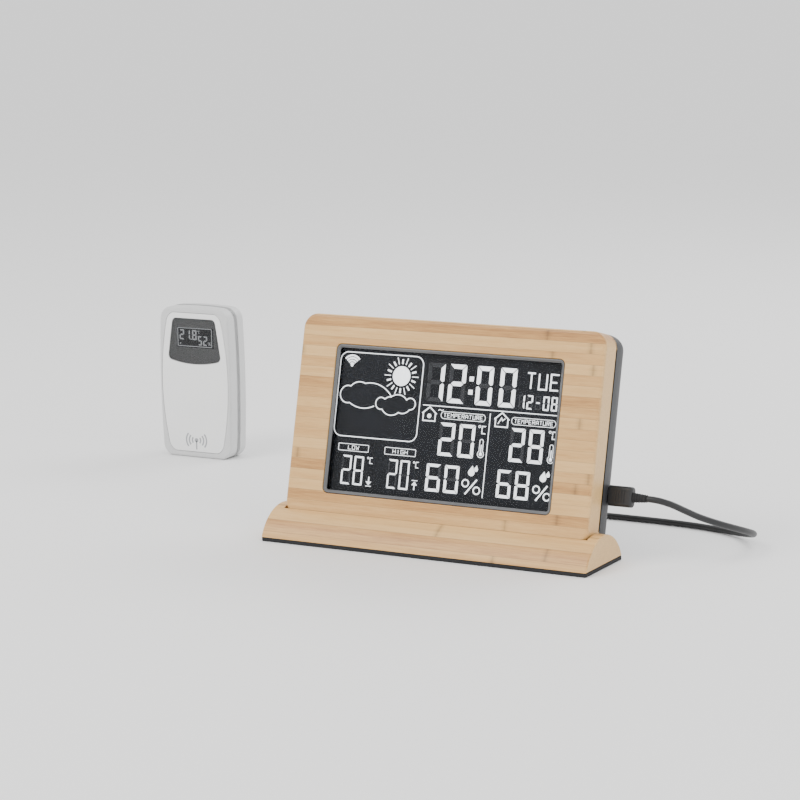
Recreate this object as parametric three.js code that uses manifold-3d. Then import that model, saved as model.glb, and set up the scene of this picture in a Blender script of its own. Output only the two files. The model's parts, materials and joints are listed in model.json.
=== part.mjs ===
// Home weather station: a bamboo display console on a D-section stand, its USB power lead, and the
// free-standing remote sensor. Millimetres, +Z up, the display faces -Y, and the origin is the middle
// of the stand's underside.
import * as THREE from 'three';
import { mergeVertices } from 'three/addons/utils/BufferGeometryUtils.js';
import Module from 'manifold-3d';

const wasm = await Module();
wasm.setup();

// ---- driving sizes -------------------------------------------------------------------------------
const gap = 0.3;                    // left between two pieces that touch
const cutOver = 1;                  // how far a cutting tool passes through what it cuts

const lean = THREE.MathUtils.degToRad(13.8);   // the console leans back
const consoleWidth = 200;
const consoleHeight = 118.7;        // up the front face, from the stand's top
const consoleCorner = 9;            // radius of the console's top corners
const seatDepth = 4;                // how far the console sits down in the stand

const frameDepth = 16.7;            // bamboo frame, front to back
const frameEdge = 2.2;              // rounding of the frame's front edge
const frameFrontWall = 4.3;
const frameSideWall = 12;
const frameTopWall = 8.3;
const frameBottomWall = 12;
const cavityCorner = 5;
const borderSide = 24.5;            // bamboo left and right of the window
const borderTop = 17.3;
const windowBottom = 11.4;          // up the front face
const windowCorner = 3.5;
const windowRecess = 2.4;
const windowThickness = 1.8;
const trimWidth = 1.9;
const trimRecess = 0.5;

const coverRim = 5;                 // straight side of the rear cover, before it curves in
const coverCurve = 7.3;             // depth of the curved part behind the rim
const coverInset = 2;               // how far the curved part draws in
const coverWall = 2.2;
const coverSideWall = 3;

const standLength = 214;
const standDepth = 50;
const standHeight = 19.2;
const standFaceY = -8.6;            // where the console's front face meets the stand's top
const padThickness = 2.2;

const lcdThickness = 2.6;
const backlightThickness = 2.6;
const boardThickness = 1.4;

const cellRadius = 5.25;            // AAA cell
const cellLength = 44.5;
const cellNub = 1.2;
const doorThickness = 1.8;
const doorGap = 0.4;
const bayWall = 1.2;

const sensorWidth = 58;
const sensorHeadroom = 25;          // above the battery bay, for the screws and the keyhole
const sensorSwitchRoom = 15.5;      // above the cells, for the switch and the reset button
const sensorBayBottom = 15;
const sensorSeam = 13.1;            // front shell, front to back
const sensorWall = 2;
const sensorCorner = 8;
const sensorBulge = 0.06;           // share of its width that the case loses at its top and bottom
const sensorArch = 1.4;             // rise of the curved top edge
const sensorPlace = [-282.6, 174.1];

const cordRadius = 1.9;
const coilCentre = [-20, 92];
const coilRadius = 22;              // middle of the turns
const coilColumns = 3;
const coilRows = 2;
const tieThickness = 0.6;

// ---- places worked out from the sizes ------------------------------------------------------------
const half = (size) => size / 2;
const standBottom = padThickness + gap;
const standRise = standHeight - standBottom;
const standRadius = (half(standDepth) ** 2 + standRise ** 2) / (2 * standRise);
const standTop = (y) => standHeight - standRadius + Math.sqrt(standRadius ** 2 - y ** 2);

const coverFront = frameDepth + gap;
const coverSeat = coverFront + coverRim - gap;
const coverRear = coverSeat + coverCurve;
const coverInner = coverRear - coverWall;
const consoleBottom = -seatDepth;
const windowWidth = consoleWidth - 2 * borderSide;
const windowTop = consoleHeight - borderTop;
const cavityBottom = consoleBottom + frameBottomWall;
const cavityTop = consoleHeight - frameTopWall;
const cavityHalf = half(consoleWidth) - frameSideWall;

const lcdFront = windowRecess + windowThickness + gap;
const lcdRear = lcdFront + lcdThickness;
const backlightFront = lcdRear + gap;
const backlightRear = backlightFront + backlightThickness;
const boardFront = backlightRear + gap;
const boardRear = boardFront + boardThickness;

const sensorFrontWall = 2.6;
const sensorLcdFront = sensorFrontWall + gap;
const sensorLcdRear = sensorLcdFront + 1.8;
const sensorBoardFront = sensorLcdRear + 0.8;
const sensorBoardRear = sensorBoardFront + 1.2;
const sensorBayFloor = sensorBoardRear + 2.9;
const sensorCellY = sensorBayFloor + gap + cellRadius;
const sensorBayRear = sensorCellY + cellRadius + gap;
const sensorDepth = sensorBayRear + gap + doorThickness;
const sensorCellBottom = sensorBayBottom + 4;
const sensorBayTop = sensorCellBottom + cellLength + 2 + sensorSwitchRoom;
const sensorHeight = sensorBayTop + sensorHeadroom;
const sensorSplit = sensorSeam + gap;
const sensorRearInner = sensorDepth - sensorWall;

// ---- shape helpers -------------------------------------------------------------------------------
function toSolid(geometry) {
  const plain = geometry.clone();
  plain.deleteAttribute('normal');
  plain.deleteAttribute('uv');
  const merged = mergeVertices(plain, 1e-4);
  return new wasm.Manifold(new wasm.Mesh({
    numProp: 3,
    vertProperties: new Float32Array(merged.attributes.position.array),
    triVerts: new Uint32Array(merged.index.array),
  }));
}

function toGeometry(solid) {
  const mesh = solid.getMesh();
  const geometry = new THREE.BufferGeometry();
  geometry.setAttribute('position', new THREE.BufferAttribute(mesh.vertProperties, 3));
  geometry.setIndex(new THREE.BufferAttribute(mesh.triVerts, 1));
  return geometry;
}

function join(first, ...others) {
  return toGeometry(others.reduce((sum, other) => sum.add(toSolid(other)), toSolid(first)));
}

function cut(first, ...tools) {
  return toGeometry(tools.reduce((rest, tool) => rest.subtract(toSolid(tool)), toSolid(first)));
}

// A closed body through convex rings that all have the same number of points.
function loft(rings) {
  const count = rings[0].length;
  const positions = rings.flat(2);
  const triangles = [];
  for (let ring = 0; ring < rings.length - 1; ring += 1) {
    for (let i = 0; i < count; i += 1) {
      const next = (i + 1) % count;
      const a = ring * count + i;
      const b = ring * count + next;
      triangles.push(a, b, a + count, b, b + count, a + count);
    }
  }
  const last = (rings.length - 1) * count;
  for (let i = 1; i < count - 1; i += 1) {
    triangles.push(0, i + 1, i);
    triangles.push(last, last + i, last + i + 1);
  }
  const geometry = new THREE.BufferGeometry();
  geometry.setAttribute('position', new THREE.Float32BufferAttribute(positions, 3));
  geometry.setIndex(triangles);
  return facingOut(geometry);
}

function facingOut(geometry) {
  const corners = geometry.attributes.position;
  const index = geometry.index.array;
  const [a, b, c] = [new THREE.Vector3(), new THREE.Vector3(), new THREE.Vector3()];
  let volume = 0;
  for (let i = 0; i < index.length; i += 3) {
    a.fromBufferAttribute(corners, index[i]);
    b.fromBufferAttribute(corners, index[i + 1]);
    c.fromBufferAttribute(corners, index[i + 2]);
    volume += a.dot(b.cross(c));
  }
  if (volume < 0) {
    geometry.setIndex(Array.from(index).reverse());
  }
  return geometry;
}

// Points round a rectangle with rounded corners: half width, bottom, top, corner radius. The straight
// sides take extra points where the outline will be bent.
function roundedOutline(halfWidth, bottom, top, radius, sideSteps = 1, cornerSteps = 4) {
  const corners = [
    [halfWidth - radius, bottom + radius, -90],
    [halfWidth - radius, top - radius, 0],
    [radius - halfWidth, top - radius, 90],
    [radius - halfWidth, bottom + radius, 180],
  ];
  const points = [];
  for (const [x, z, start] of corners) {
    for (let i = 0; i <= cornerSteps; i += 1) {
      const angle = THREE.MathUtils.degToRad(start + (90 * i) / cornerSteps);
      points.push([x + radius * Math.cos(angle), z + radius * Math.sin(angle)]);
    }
  }
  if (sideSteps === 1) {
    return points;
  }
  return points.flatMap((point, i) => {
    const next = points[(i + 1) % points.length];
    const straight = i % (cornerSteps + 1) === cornerSteps;
    const steps = straight ? sideSteps : 1;
    return Array.from({ length: steps }, (_, k) => [
      point[0] + ((next[0] - point[0]) * k) / steps,
      point[1] + ((next[1] - point[1]) * k) / steps,
    ]);
  });
}

// A plate facing front and back: its outline lies in X and Z and it runs from yFront to yRear. The
// front and rear edges can be rounded by [inwards, along the depth].
function plate(outlineAt, yFront, yRear, frontEdge = [0, 0], rearEdge = [0, 0], edgeSteps = 3) {
  const ring = (inset, y) => outlineAt(inset).map(([x, z]) => [x, y, z]);
  const rings = [];
  const quarter = (edge, place) => {
    for (let i = 0; i <= edgeSteps; i += 1) {
      const angle = (Math.PI / 2) * (i / edgeSteps);
      rings.push(place(edge[0] * (1 - Math.sin(angle)), edge[1] * (1 - Math.cos(angle))));
    }
  };
  if (frontEdge[1] > 0) {
    quarter(frontEdge, (inset, along) => ring(inset, yFront + along));
  } else {
    rings.push(ring(0, yFront));
  }
  if (rearEdge[1] > 0) {
    const rearRings = [];
    for (let i = edgeSteps; i >= 0; i -= 1) {
      const angle = (Math.PI / 2) * (i / edgeSteps);
      const inset = rearEdge[0] * (1 - Math.sin(angle));
      rearRings.push(ring(inset, yRear - rearEdge[1] * (1 - Math.cos(angle))));
    }
    rings.push(...rearRings);
  } else {
    rings.push(ring(0, yRear));
  }
  return loft(rings);
}

function boxBetween(low, high) {
  const size = high.map((value, i) => value - low[i]);
  const box = new THREE.BoxGeometry(...size);
  box.translate(...low.map((value, i) => value + half(size[i])));
  return box;
}

// A rod along Y from yFront to yRear.
function rodY(x, z, radius, yFront, yRear, sides = 16) {
  const rod = new THREE.CylinderGeometry(radius, radius, yRear - yFront, sides);
  rod.translate(x, half(yFront + yRear), z);
  return rod;
}

// A turned piece along +Y: profile points are [radius, y].
function turnedY(profile, sides = 14) {
  return new THREE.LatheGeometry(profile.map(([r, y]) => new THREE.Vector2(r, y)), sides);
}

// A profile in Y and Z, carried along X.
function barX(profile, xStart, xEnd) {
  return loft([xStart, xEnd].map((x) => profile.map(([y, z]) => [x, y, z])));
}

function screwY(headRadius, headDepth, shankRadius, length) {
  return turnedY([
    [0, 0], [shankRadius, 0], [shankRadius, length - headDepth],
    [headRadius, length - headDepth], [headRadius, length], [0, length],
  ], 12);
}

// ---- scene helpers -------------------------------------------------------------------------------
const finish = (color, roughness, metalness = 0) => new THREE.MeshStandardMaterial({
  color, roughness, metalness,
});
const looks = {
  bamboo: finish(0xc79a5e, 0.55),
  blackPlastic: finish(0x1d1e20, 0.5),
  whitePlastic: finish(0xe9e9e6, 0.45),
  darkGlass: finish(0x16191c, 0.12),
  lightGuide: finish(0xf2f4f6, 0.4),
  greenBoard: finish(0x1f5a3a, 0.5),
  steel: finish(0xb4b7ba, 0.3, 1),
  rubber: finish(0x242424, 0.9),
  cellJacket: finish(0x3c5d86, 0.4),
};

function addNode(group, name, geometry, material) {
  const node = new THREE.Mesh(geometry, material);
  node.name = name;
  group.add(node);
  return node;
}

// ---- console -------------------------------------------------------------------------------------
const consoleOutline = (inset) => roundedOutline(
  half(consoleWidth) - inset,
  consoleBottom + inset,
  consoleHeight - inset,
  consoleCorner - inset,
);
const cavityOutline = (inset) => roundedOutline(
  cavityHalf - inset,
  cavityBottom + inset,
  cavityTop - inset,
  cavityCorner - inset,
);
const windowOutline = (inset) => roundedOutline(
  half(windowWidth) - inset,
  windowBottom + inset,
  windowTop - inset,
  Math.max(windowCorner - inset, windowCorner / 4),
);

const caseScrewX = half(consoleWidth) - 9;
const caseScrewZ = [consoleBottom + 18, consoleHeight - 14.7];
const caseScrewHoleRadius = 1.5;
const caseScrewHeadRadius = 2.7;
const caseScrewHeadDepth = 1.9;
const caseScrewLength = 20.2;
const caseScrewSink = 0.8;          // the head stands this far below the cover's rear face
const caseScrewPlaces = caseScrewZ.flatMap((z) => [[-caseScrewX, z], [caseScrewX, z]]);

const standScrewX = 60;
const standScrewY = half(frameDepth);
const standScrewHoleRadius = 1.8;
const standScrewHeadRadius = 3.2;
const standScrewHeadDepth = 2;
const standScrewLength = 15.5;
const standScrewTip = 4.2;          // how far up the screw reaches into the frame

function consoleFrame() {
  const body = plate(consoleOutline, 0, frameDepth, [frameEdge, frameEdge]);
  const opening = plate(windowOutline, -cutOver, frameFrontWall + cutOver);
  const cavity = plate(() => cavityOutline(0), frameFrontWall, frameDepth + cutOver);
  const pilots = caseScrewPlaces.map(([x, z]) => {
    const pilotFront = coverRear - caseScrewSink - caseScrewLength - gap;
    return rodY(x, z, caseScrewHoleRadius, pilotFront, frameDepth + cutOver, 12);
  });
  const standPilots = [-standScrewX, standScrewX].map((x) => {
    const rod = new THREE.CylinderGeometry(
      standScrewHoleRadius,
      standScrewHoleRadius,
      standScrewTip + gap - consoleBottom + cutOver,
      12,
    );
    rod.rotateX(Math.PI / 2);
    rod.translate(x, standScrewY, half(standScrewTip + gap + consoleBottom - cutOver));
    return rod;
  });
  return cut(body, opening, cavity, ...pilots, ...standPilots);
}

function windowTrim() {
  const outer = plate(() => windowOutline(gap), trimRecess, windowRecess - gap);
  const inner = plate(() => windowOutline(gap + trimWidth), 0, windowRecess + cutOver);
  return cut(outer, inner);
}

function displayWindow() {
  const rear = windowRecess + windowThickness;
  return plate(() => windowOutline(gap), windowRecess, rear);
}

const lcdHalf = half(windowWidth) + 3;
const lcdBottom = windowBottom - 0.8;
const lcdTop = windowTop + 2.2;
const slab = (halfWidth, bottom, top, front, rear) => boxBetween(
  [-halfWidth, front, bottom],
  [halfWidth, rear, top],
);

function lcdCarrier() {
  const outer = plate(() => cavityOutline(gap), lcdFront, backlightRear);
  const inner = slab(lcdHalf + gap, lcdBottom - gap, lcdTop + gap, lcdFront - cutOver, boardFront);
  return cut(outer, inner);
}

// Batteries lie across the console, one above another, in a tray behind the board.
const cellCount = 3;
const cellPitch = 2 * cellRadius + 0.5;
const bayHalf = half(cellLength) + 4.3;
const buttonZ = consoleHeight - 22;
const buttonBoardHalf = 7;
const bayMiddle = half(buttonZ - buttonBoardHalf + consoleBottom) + 3;
const bayHalfHeight = half(cellCount * cellPitch) + 1.2;
const bayRear = coverRear - doorThickness - gap;
const bayFloor = bayRear - 2 * cellRadius - 2 * gap;
const doorHalf = bayHalf + 3.5;
const doorBottom = bayMiddle - bayHalfHeight - 3;
const doorTop = bayMiddle + bayHalfHeight + 3;
const cellY = bayRear - gap - cellRadius;

const buttonPlaces = [-56, -28, 0, 28, 56];
const buttonNames = ['button_mode', 'button_up', 'button_down', 'button_alarm', 'button_light'];
const buttonHalf = 6;
const buttonRadius = 3.6;
const buttonProud = 0.9;
const buttonTravel = 0.8;
const buttonFlange = 1.3;
const buttonSlack = 0.35;
const buttonFlangeDepth = 1.1;
const buttonFlangeRear = coverInner - gap - 0.1;
const switchRear = buttonFlangeRear - buttonFlangeDepth - buttonTravel - gap;
const switchHeight = 2.6;
const switchBoardRear = switchRear - switchHeight;
const switchBoardFront = switchBoardRear - 1.2;

const plugZ = 26.6;                 // up the console, on its right-hand side
const plugY = coverRear - 3.8;      // back from the front face
const socketHalfWidth = 4;
const socketHalfDepth = 1.5;
const socketOpeningHalfWidth = 4.4;
const socketOpeningHalfDepth = 1.5;

const ventRows = 6;
const ventPitch = 4.4;
const ventHalf = 11;
const ventX = 62;
const ventZ = 44;

const pill = (halfLength, radius) => (inset) => roundedOutline(
  halfLength - inset,
  -(radius - inset),
  radius - inset,
  radius - inset,
);

function pillBody(x, z, halfLength, radius, yFront, yRear, rearEdge = [0, 0]) {
  const body = plate(pill(halfLength, radius), yFront, yRear, [0, 0], rearEdge, 2);
  return body.translate(x, 0, z);
}

function rearCover() {
  const rim = plate(consoleOutline, coverFront, coverRear, [0, 0], [coverInset, coverCurve], 4);
  const hollow = plate(
    () => roundedOutline(
      half(consoleWidth) - coverSideWall,
      consoleBottom + coverSideWall,
      consoleHeight - coverSideWall,
      consoleCorner - coverSideWall,
    ),
    coverFront - cutOver,
    coverInner,
  );
  const posts = caseScrewPlaces.map(([x, z]) => rodY(x, z, 4.2, coverFront, coverInner + 0.5));
  const tray = boxBetween(
    [-doorHalf - 2, bayFloor - bayWall, doorBottom - 2],
    [doorHalf + 2, coverInner + 0.5, doorTop + 2],
  );
  const bay = boxBetween(
    [-bayHalf, bayFloor, bayMiddle - bayHalfHeight],
    [bayHalf, coverRear + cutOver, bayMiddle + bayHalfHeight],
  );
  const doorRecess = boxBetween(
    [-doorHalf - doorGap, bayRear, doorBottom - doorGap],
    [doorHalf + doorGap, coverRear + cutOver, doorTop + doorGap],
  );
  const screwHoles = caseScrewPlaces.flatMap(([x, z]) => {
    const headFloor = coverRear - caseScrewSink - caseScrewHeadDepth - gap;
    return [
      rodY(x, z, caseScrewHoleRadius, coverFront - cutOver, coverRear, 12),
      rodY(x, z, caseScrewHeadRadius + gap, headFloor, coverRear + cutOver),
    ];
  });
  const buttonHoles = buttonPlaces.map((x) => pillBody(
    x,
    buttonZ,
    buttonHalf + buttonSlack,
    buttonRadius + buttonSlack,
    coverInner - cutOver,
    coverRear + cutOver,
  ));
  const openingLow = [plugY - socketOpeningHalfDepth, plugZ - socketOpeningHalfWidth];
  const openingHigh = [plugY + socketOpeningHalfDepth, plugZ + socketOpeningHalfWidth];
  const socketHole = boxBetween(
    [half(consoleWidth) - coverSideWall - cutOver, ...openingLow],
    [half(consoleWidth) + cutOver, ...openingHigh],
  );
  const vents = [-ventX, ventX].flatMap((x) => Array.from({ length: ventRows }, (_, i) => boxBetween(
    [x - ventHalf, coverInner - cutOver, ventZ + i * ventPitch],
    [x + ventHalf, coverRear + cutOver, ventZ + i * ventPitch + 1.8],
  )));
  const shell = join(cut(rim, hollow), tray, ...posts);
  return cut(shell, bay, doorRecess, socketHole, ...screwHoles, ...buttonHoles, ...vents);
}

function consoleButton(x) {
  const cap = pillBody(
    x,
    buttonZ,
    buttonHalf,
    buttonRadius,
    buttonFlangeRear - 0.2,
    coverRear + buttonProud,
    [0.7, 0.7],
  );
  const flange = pillBody(
    x,
    buttonZ,
    buttonHalf + buttonFlange,
    buttonRadius + buttonFlange,
    buttonFlangeRear - buttonFlangeDepth,
    buttonFlangeRear,
  );
  return join(flange, cap);
}

function buttonBoard() {
  const board = boxBetween(
    [buttonPlaces[0] - 12, switchBoardFront, buttonZ - buttonBoardHalf],
    [buttonPlaces[buttonPlaces.length - 1] + 12, switchBoardRear, buttonZ + buttonBoardHalf],
  );
  const switches = buttonPlaces.map((x) => boxBetween(
    [x - 3, switchBoardRear - 0.2, buttonZ - 3],
    [x + 3, switchRear, buttonZ + 3],
  ));
  return join(board, ...switches);
}

// A door with a half-round lower edge, so that it turns in its recess: profile in Y and Z.
function hingedDoor(halfWidth, bottom, top, rear, gripHeight) {
  const radius = half(doorThickness);
  const profile = [];
  for (let i = 0; i <= 8; i += 1) {
    const angle = THREE.MathUtils.degToRad(180 + (180 * i) / 8);
    profile.push([rear - radius + radius * Math.cos(angle), bottom + radius + radius * Math.sin(angle)]);
  }
  profile.push([rear, top], [rear - doorThickness, top]);
  const leaf = barX(profile, -halfWidth, halfWidth);
  const grip = boxBetween([-7, rear - 0.9, top - gripHeight], [7, rear + cutOver, top - gripHeight + 3]);
  return cut(leaf, grip);
}

function batteryCell() {
  return turnedY([
    [0, 0], [cellRadius - 0.6, 0], [cellRadius, 0.6],
    [cellRadius, cellLength - cellNub - 0.6], [cellRadius - 0.6, cellLength - cellNub],
    [1.9, cellLength - cellNub], [1.9, cellLength], [0, cellLength],
  ], 16);
}

// A sprung contact strip: a plate with one cone towards each cell, all pointing +X.
function contactStrip(heights, plateHalf, reach, y) {
  const low = Math.min(...heights) - plateHalf;
  const high = Math.max(...heights) + plateHalf;
  const strip = boxBetween([0, y - plateHalf, low], [0.6, y + plateHalf, high]);
  const cones = heights.map((z) => {
    const cone = new THREE.CylinderGeometry(1.2, 3.2, reach, 10);
    cone.rotateZ(-Math.PI / 2);
    return cone.translate(0.4 + half(reach), y, z);
  });
  return join(strip, ...cones);
}

function usbSocket() {
  const right = half(consoleWidth) - coverSideWall - gap;
  const body = boxBetween(
    [right - 6, plugY - socketHalfDepth, plugZ - socketHalfWidth],
    [right, plugY + socketHalfDepth, plugZ + socketHalfWidth],
  );
  const mouth = boxBetween(
    [right - 5, plugY - 1.25, plugZ - 3.8],
    [right + cutOver, plugY + 1.25, plugZ + 3.8],
  );
  return cut(body, mouth);
}

function buildConsole() {
  const group = new THREE.Group();
  group.position.set(0, standFaceY, standTop(standFaceY));
  group.rotation.x = -lean;

  addNode(group, 'console_frame', consoleFrame(), looks.bamboo);
  addNode(group, 'window_trim', windowTrim(), looks.blackPlastic);
  addNode(group, 'display_window', displayWindow(), looks.darkGlass);
  addNode(group, 'lcd_panel', slab(lcdHalf, lcdBottom, lcdTop, lcdFront, lcdRear), looks.darkGlass);
  addNode(
    group,
    'backlight_panel',
    slab(lcdHalf, lcdBottom, lcdTop, backlightFront, backlightRear),
    looks.lightGuide,
  );
  addNode(group, 'lcd_carrier', lcdCarrier(), looks.whitePlastic);
  const boardHalf = cavityHalf - 3;
  const board = slab(boardHalf, cavityBottom + 4, cavityTop - 4, boardFront, boardRear);
  addNode(group, 'main_board', board, looks.greenBoard);
  const onBoard = boardRear + gap;
  const wifi = boxBetween([46, onBoard, cavityTop - 36], [71, onBoard + 3.2, cavityTop - 18]);
  addNode(group, 'wifi_module', wifi, looks.steel);
  const buzzer = rodY(-50, 28, 7, onBoard, onBoard + 5);
  addNode(group, 'piezo_buzzer', buzzer, looks.blackPlastic);
  const roomSensor = boxBetween([-68, onBoard, 50], [-56, onBoard + 3, 58]);
  addNode(group, 'indoor_sensor', roomSensor, looks.whitePlastic);

  const socketRight = half(consoleWidth) - coverSideWall - gap;
  const powerBoardRear = plugY - socketHalfDepth - gap;
  const powerBoard = boxBetween(
    [socketRight - 22, powerBoardRear - 1.2, plugZ - 7],
    [socketRight - 0.4, powerBoardRear, plugZ + 9],
  );
  addNode(group, 'power_board', powerBoard, looks.greenBoard);
  addNode(group, 'usb_socket', usbSocket(), looks.steel);
  addNode(group, 'button_board', buttonBoard(), looks.greenBoard);
  addNode(group, 'rear_cover', rearCover(), looks.blackPlastic);
  buttonPlaces.forEach((x, i) => {
    addNode(group, buttonNames[i], consoleButton(x), looks.blackPlastic);
  });
  const door = hingedDoor(doorHalf, doorBottom, doorTop, coverRear, 5);
  addNode(group, 'battery_door', door, looks.blackPlastic);

  const cellHeights = [-1, 0, 1].map((row) => bayMiddle + row * cellPitch);
  cellHeights.forEach((z, i) => {
    const cell = addNode(group, `battery_cell_${i + 1}`, batteryCell(), looks.cellJacket);
    const turn = i % 2 === 0 ? 1 : -1;
    cell.rotation.z = (-turn * Math.PI) / 2;
    cell.position.set(-turn * half(cellLength), cellY, z);
  });
  const contactReach = bayHalf - half(cellLength) - 0.4 - 2 * gap;
  const leftContact = contactStrip(cellHeights, 4, contactReach, cellY);
  addNode(group, 'battery_contact_left', leftContact, looks.steel).position.x = gap - bayHalf;
  const rightContact = addNode(
    group,
    'battery_contact_right',
    contactStrip(cellHeights, 4, contactReach, 0),
    looks.steel,
  );
  rightContact.rotation.z = Math.PI;
  rightContact.position.set(bayHalf - gap, cellY, 0);

  caseScrewPlaces.forEach(([x, z], i) => {
    const screw = addNode(
      group,
      `case_screw_${i + 1}`,
      screwY(caseScrewHeadRadius, caseScrewHeadDepth, caseScrewHoleRadius - gap, caseScrewLength),
      looks.steel,
    );
    screw.position.set(x, coverRear - caseScrewSink - caseScrewLength, z);
  });
  ['left', 'right'].forEach((side, i) => {
    const screw = addNode(
      group,
      `stand_screw_${side}`,
      screwY(
        standScrewHeadRadius,
        standScrewHeadDepth,
        standScrewHoleRadius - gap,
        standScrewLength,
      ),
      looks.steel,
    );
    screw.rotation.x = -Math.PI / 2;
    screw.position.set(i === 0 ? -standScrewX : standScrewX, standScrewY, standScrewTip);
  });
  return group;
}

// ---- stand ---------------------------------------------------------------------------------------
// A cutter placed as the console is.
function inConsolePlace(geometry) {
  geometry.rotateX(-lean);
  return geometry.translate(0, standFaceY, standTop(standFaceY));
}

function standBase() {
  const steps = 24;
  const profile = Array.from({ length: steps + 1 }, (_, i) => {
    const y = -half(standDepth) + (standDepth * i) / steps;
    return [y, i === 0 || i === steps ? standBottom : standTop(y)];
  });
  const bar = barX(profile, -half(standLength), half(standLength));
  const groove = inConsolePlace(boxBetween(
    [-half(consoleWidth) - gap, -gap, consoleBottom - gap],
    [half(consoleWidth) + gap, coverRear + gap, consoleHeight],
  ));
  const headFloor = standScrewTip - standScrewLength + standScrewHeadDepth + gap;
  const screwHoles = [-standScrewX, standScrewX].flatMap((x) => [
    [standScrewHoleRadius, -40, 0],
    [standScrewHeadRadius + gap, -40, headFloor],
  ].map(([radius, low, high]) => {
    const rod = new THREE.CylinderGeometry(radius, radius, high - low, 14);
    rod.rotateX(Math.PI / 2);
    rod.translate(x, standScrewY, half(low + high));
    return inConsolePlace(rod);
  }));
  return cut(bar, groove, ...screwHoles);
}

function standPad() {
  const outline = new THREE.Shape(roundedOutline(
    half(standLength),
    -half(standDepth),
    half(standDepth),
    1.5,
  ).map(([x, y]) => new THREE.Vector2(x, y)));
  const screwY0 = standFaceY + standScrewY * Math.cos(lean);
  const screwZ0 = standTop(standFaceY) - standScrewY * Math.sin(lean);
  const accessY = screwY0 - screwZ0 * Math.tan(lean);
  for (const x of [-standScrewX, standScrewX]) {
    const access = new THREE.Path();
    access.absarc(x, accessY, standScrewHeadRadius + 1.6, 0, 2 * Math.PI, true);
    outline.holes.push(access);
  }
  return new THREE.ExtrudeGeometry(outline, {
    depth: padThickness,
    bevelEnabled: false,
    curveSegments: 10,
  });
}

// ---- power lead ----------------------------------------------------------------------------------
const plugFace = half(consoleWidth) + gap;
const plugLength = 15;
const plugHalfHeight = 6;
const plugHalfDepth = 3.2;
const reliefLength = 8;
const reliefHalfHeight = 2.9;
const cordStart = plugFace + plugLength + gap + reliefLength + gap;
const plugCentre = new THREE.Vector3(0, plugY, plugZ)
  .applyAxisAngle(new THREE.Vector3(1, 0, 0), -lean)
  .add(new THREE.Vector3(0, standFaceY, standTop(standFaceY)));
const floorCord = cordRadius + 0.05;

const coilOuter = coilRadius + half(coilColumns) * 2 * cordRadius;
const coilInner = coilRadius - half(coilColumns) * 2 * cordRadius;
const coilBottom = tieThickness + 2 * gap;
const coilHeight = coilRows * 2 * cordRadius;
const coilLine = coilCentre[1] + coilRadius + 2 * cordRadius;
const coilMeet = Math.sqrt(coilOuter ** 2 - (coilRadius + cordRadius) ** 2) + 2 * gap;

// The cord's way from the plug to the coil, and from the coil to the far plug.
const leadRoute = [
  [cordStart, plugCentre.y, plugCentre.z],
  [131, 22.6, 37.1],
  [137.5, 24.2, 35.3],
  [144.5, 27.6, 31.7],
  [151, 32.8, 27.6],
  [157, 40, 23.8],
  [162, 49, 20],
  [165.3, 59, 16.4],
  [166.8, 69.5, 12.9],
  [166, 80, 9.6],
  [162.6, 89.5, 6.7],
  [156, 98, 4.3],
  [147, 105, 2.7],
  [135, 110.5, 2.05],
  [120, 114.6, floorCord],
  [102, 117, floorCord],
  [82, 118, floorCord],
  [60, 118.2, floorCord],
  [40, coilLine, floorCord],
  [20, coilLine, floorCord],
  [coilCentre[0] + coilMeet, coilLine, floorCord + half(coilBottom)],
];
const tailRoute = [
  [coilCentre[0] - coilMeet, coilLine, 4.6],
  [-44, coilLine - 0.4, 3.2],
  [-54, coilLine - 2.2, 2.2],
  [-64, coilLine - 5.6, floorCord],
  [-74, coilLine - 9.4, 2.2],
  [-84, coilLine - 11.6, 3.2],
  [-93, coilLine - 12, 4.1],
];

function cordTube(route, steps) {
  const curve = new THREE.CatmullRomCurve3(
    route.map((point) => new THREE.Vector3(...point)),
    false,
    'centripetal',
  );
  const sides = 8;
  const section = new THREE.Shape(Array.from({ length: sides }, (_, i) => {
    const angle = (2 * Math.PI * (i + 0.5)) / sides;
    return new THREE.Vector2(cordRadius * Math.cos(angle), cordRadius * Math.sin(angle));
  }));
  return new THREE.ExtrudeGeometry(section, { steps, extrudePath: curve, bevelEnabled: false });
}

function coilRing() {
  const profile = [
    [coilInner, 0.6], [coilInner + 0.6, 0], [coilOuter - 0.6, 0], [coilOuter, 0.6],
    [coilOuter, coilHeight - 0.6], [coilOuter - 0.6, coilHeight],
    [coilInner + 0.6, coilHeight], [coilInner, coilHeight - 0.6], [coilInner, 0.6],
  ];
  const ring = new THREE.LatheGeometry(profile.map(([r, z]) => new THREE.Vector2(r, z)), 32);
  ring.rotateX(Math.PI / 2);
  return ring.translate(coilCentre[0], coilCentre[1], coilBottom);
}

// A flat band round the turns, on the side of the coil nearest the stand.
function coilTie() {
  const reach = half(coilOuter - coilInner) + 2 * gap;
  const middleY = coilCentre[1] - coilRadius;
  const inner = boxBetween(
    [coilCentre[0] - 5, middleY - reach, coilBottom - gap],
    [coilCentre[0] + 5, middleY + reach, coilBottom + coilHeight + gap],
  );
  const outer = boxBetween(
    [coilCentre[0] - 3, middleY - reach - tieThickness, coilBottom - gap - tieThickness],
    [coilCentre[0] + 3, middleY + reach + tieThickness, coilBottom + coilHeight + gap + tieThickness],
  );
  return cut(outer, inner);
}

// A rounded block along X that can taper: half depth and half height at each end.
function taperX(xStart, xEnd, startSize, endSize, corner) {
  const ring = (x, [halfDepth, halfHeight]) => roundedOutline(
    halfDepth,
    -halfHeight,
    halfHeight,
    corner,
    1,
    3,
  ).map(([y, z]) => [x, y, z]);
  return loft([ring(xStart, startSize), ring(xEnd, endSize)]);
}

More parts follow.
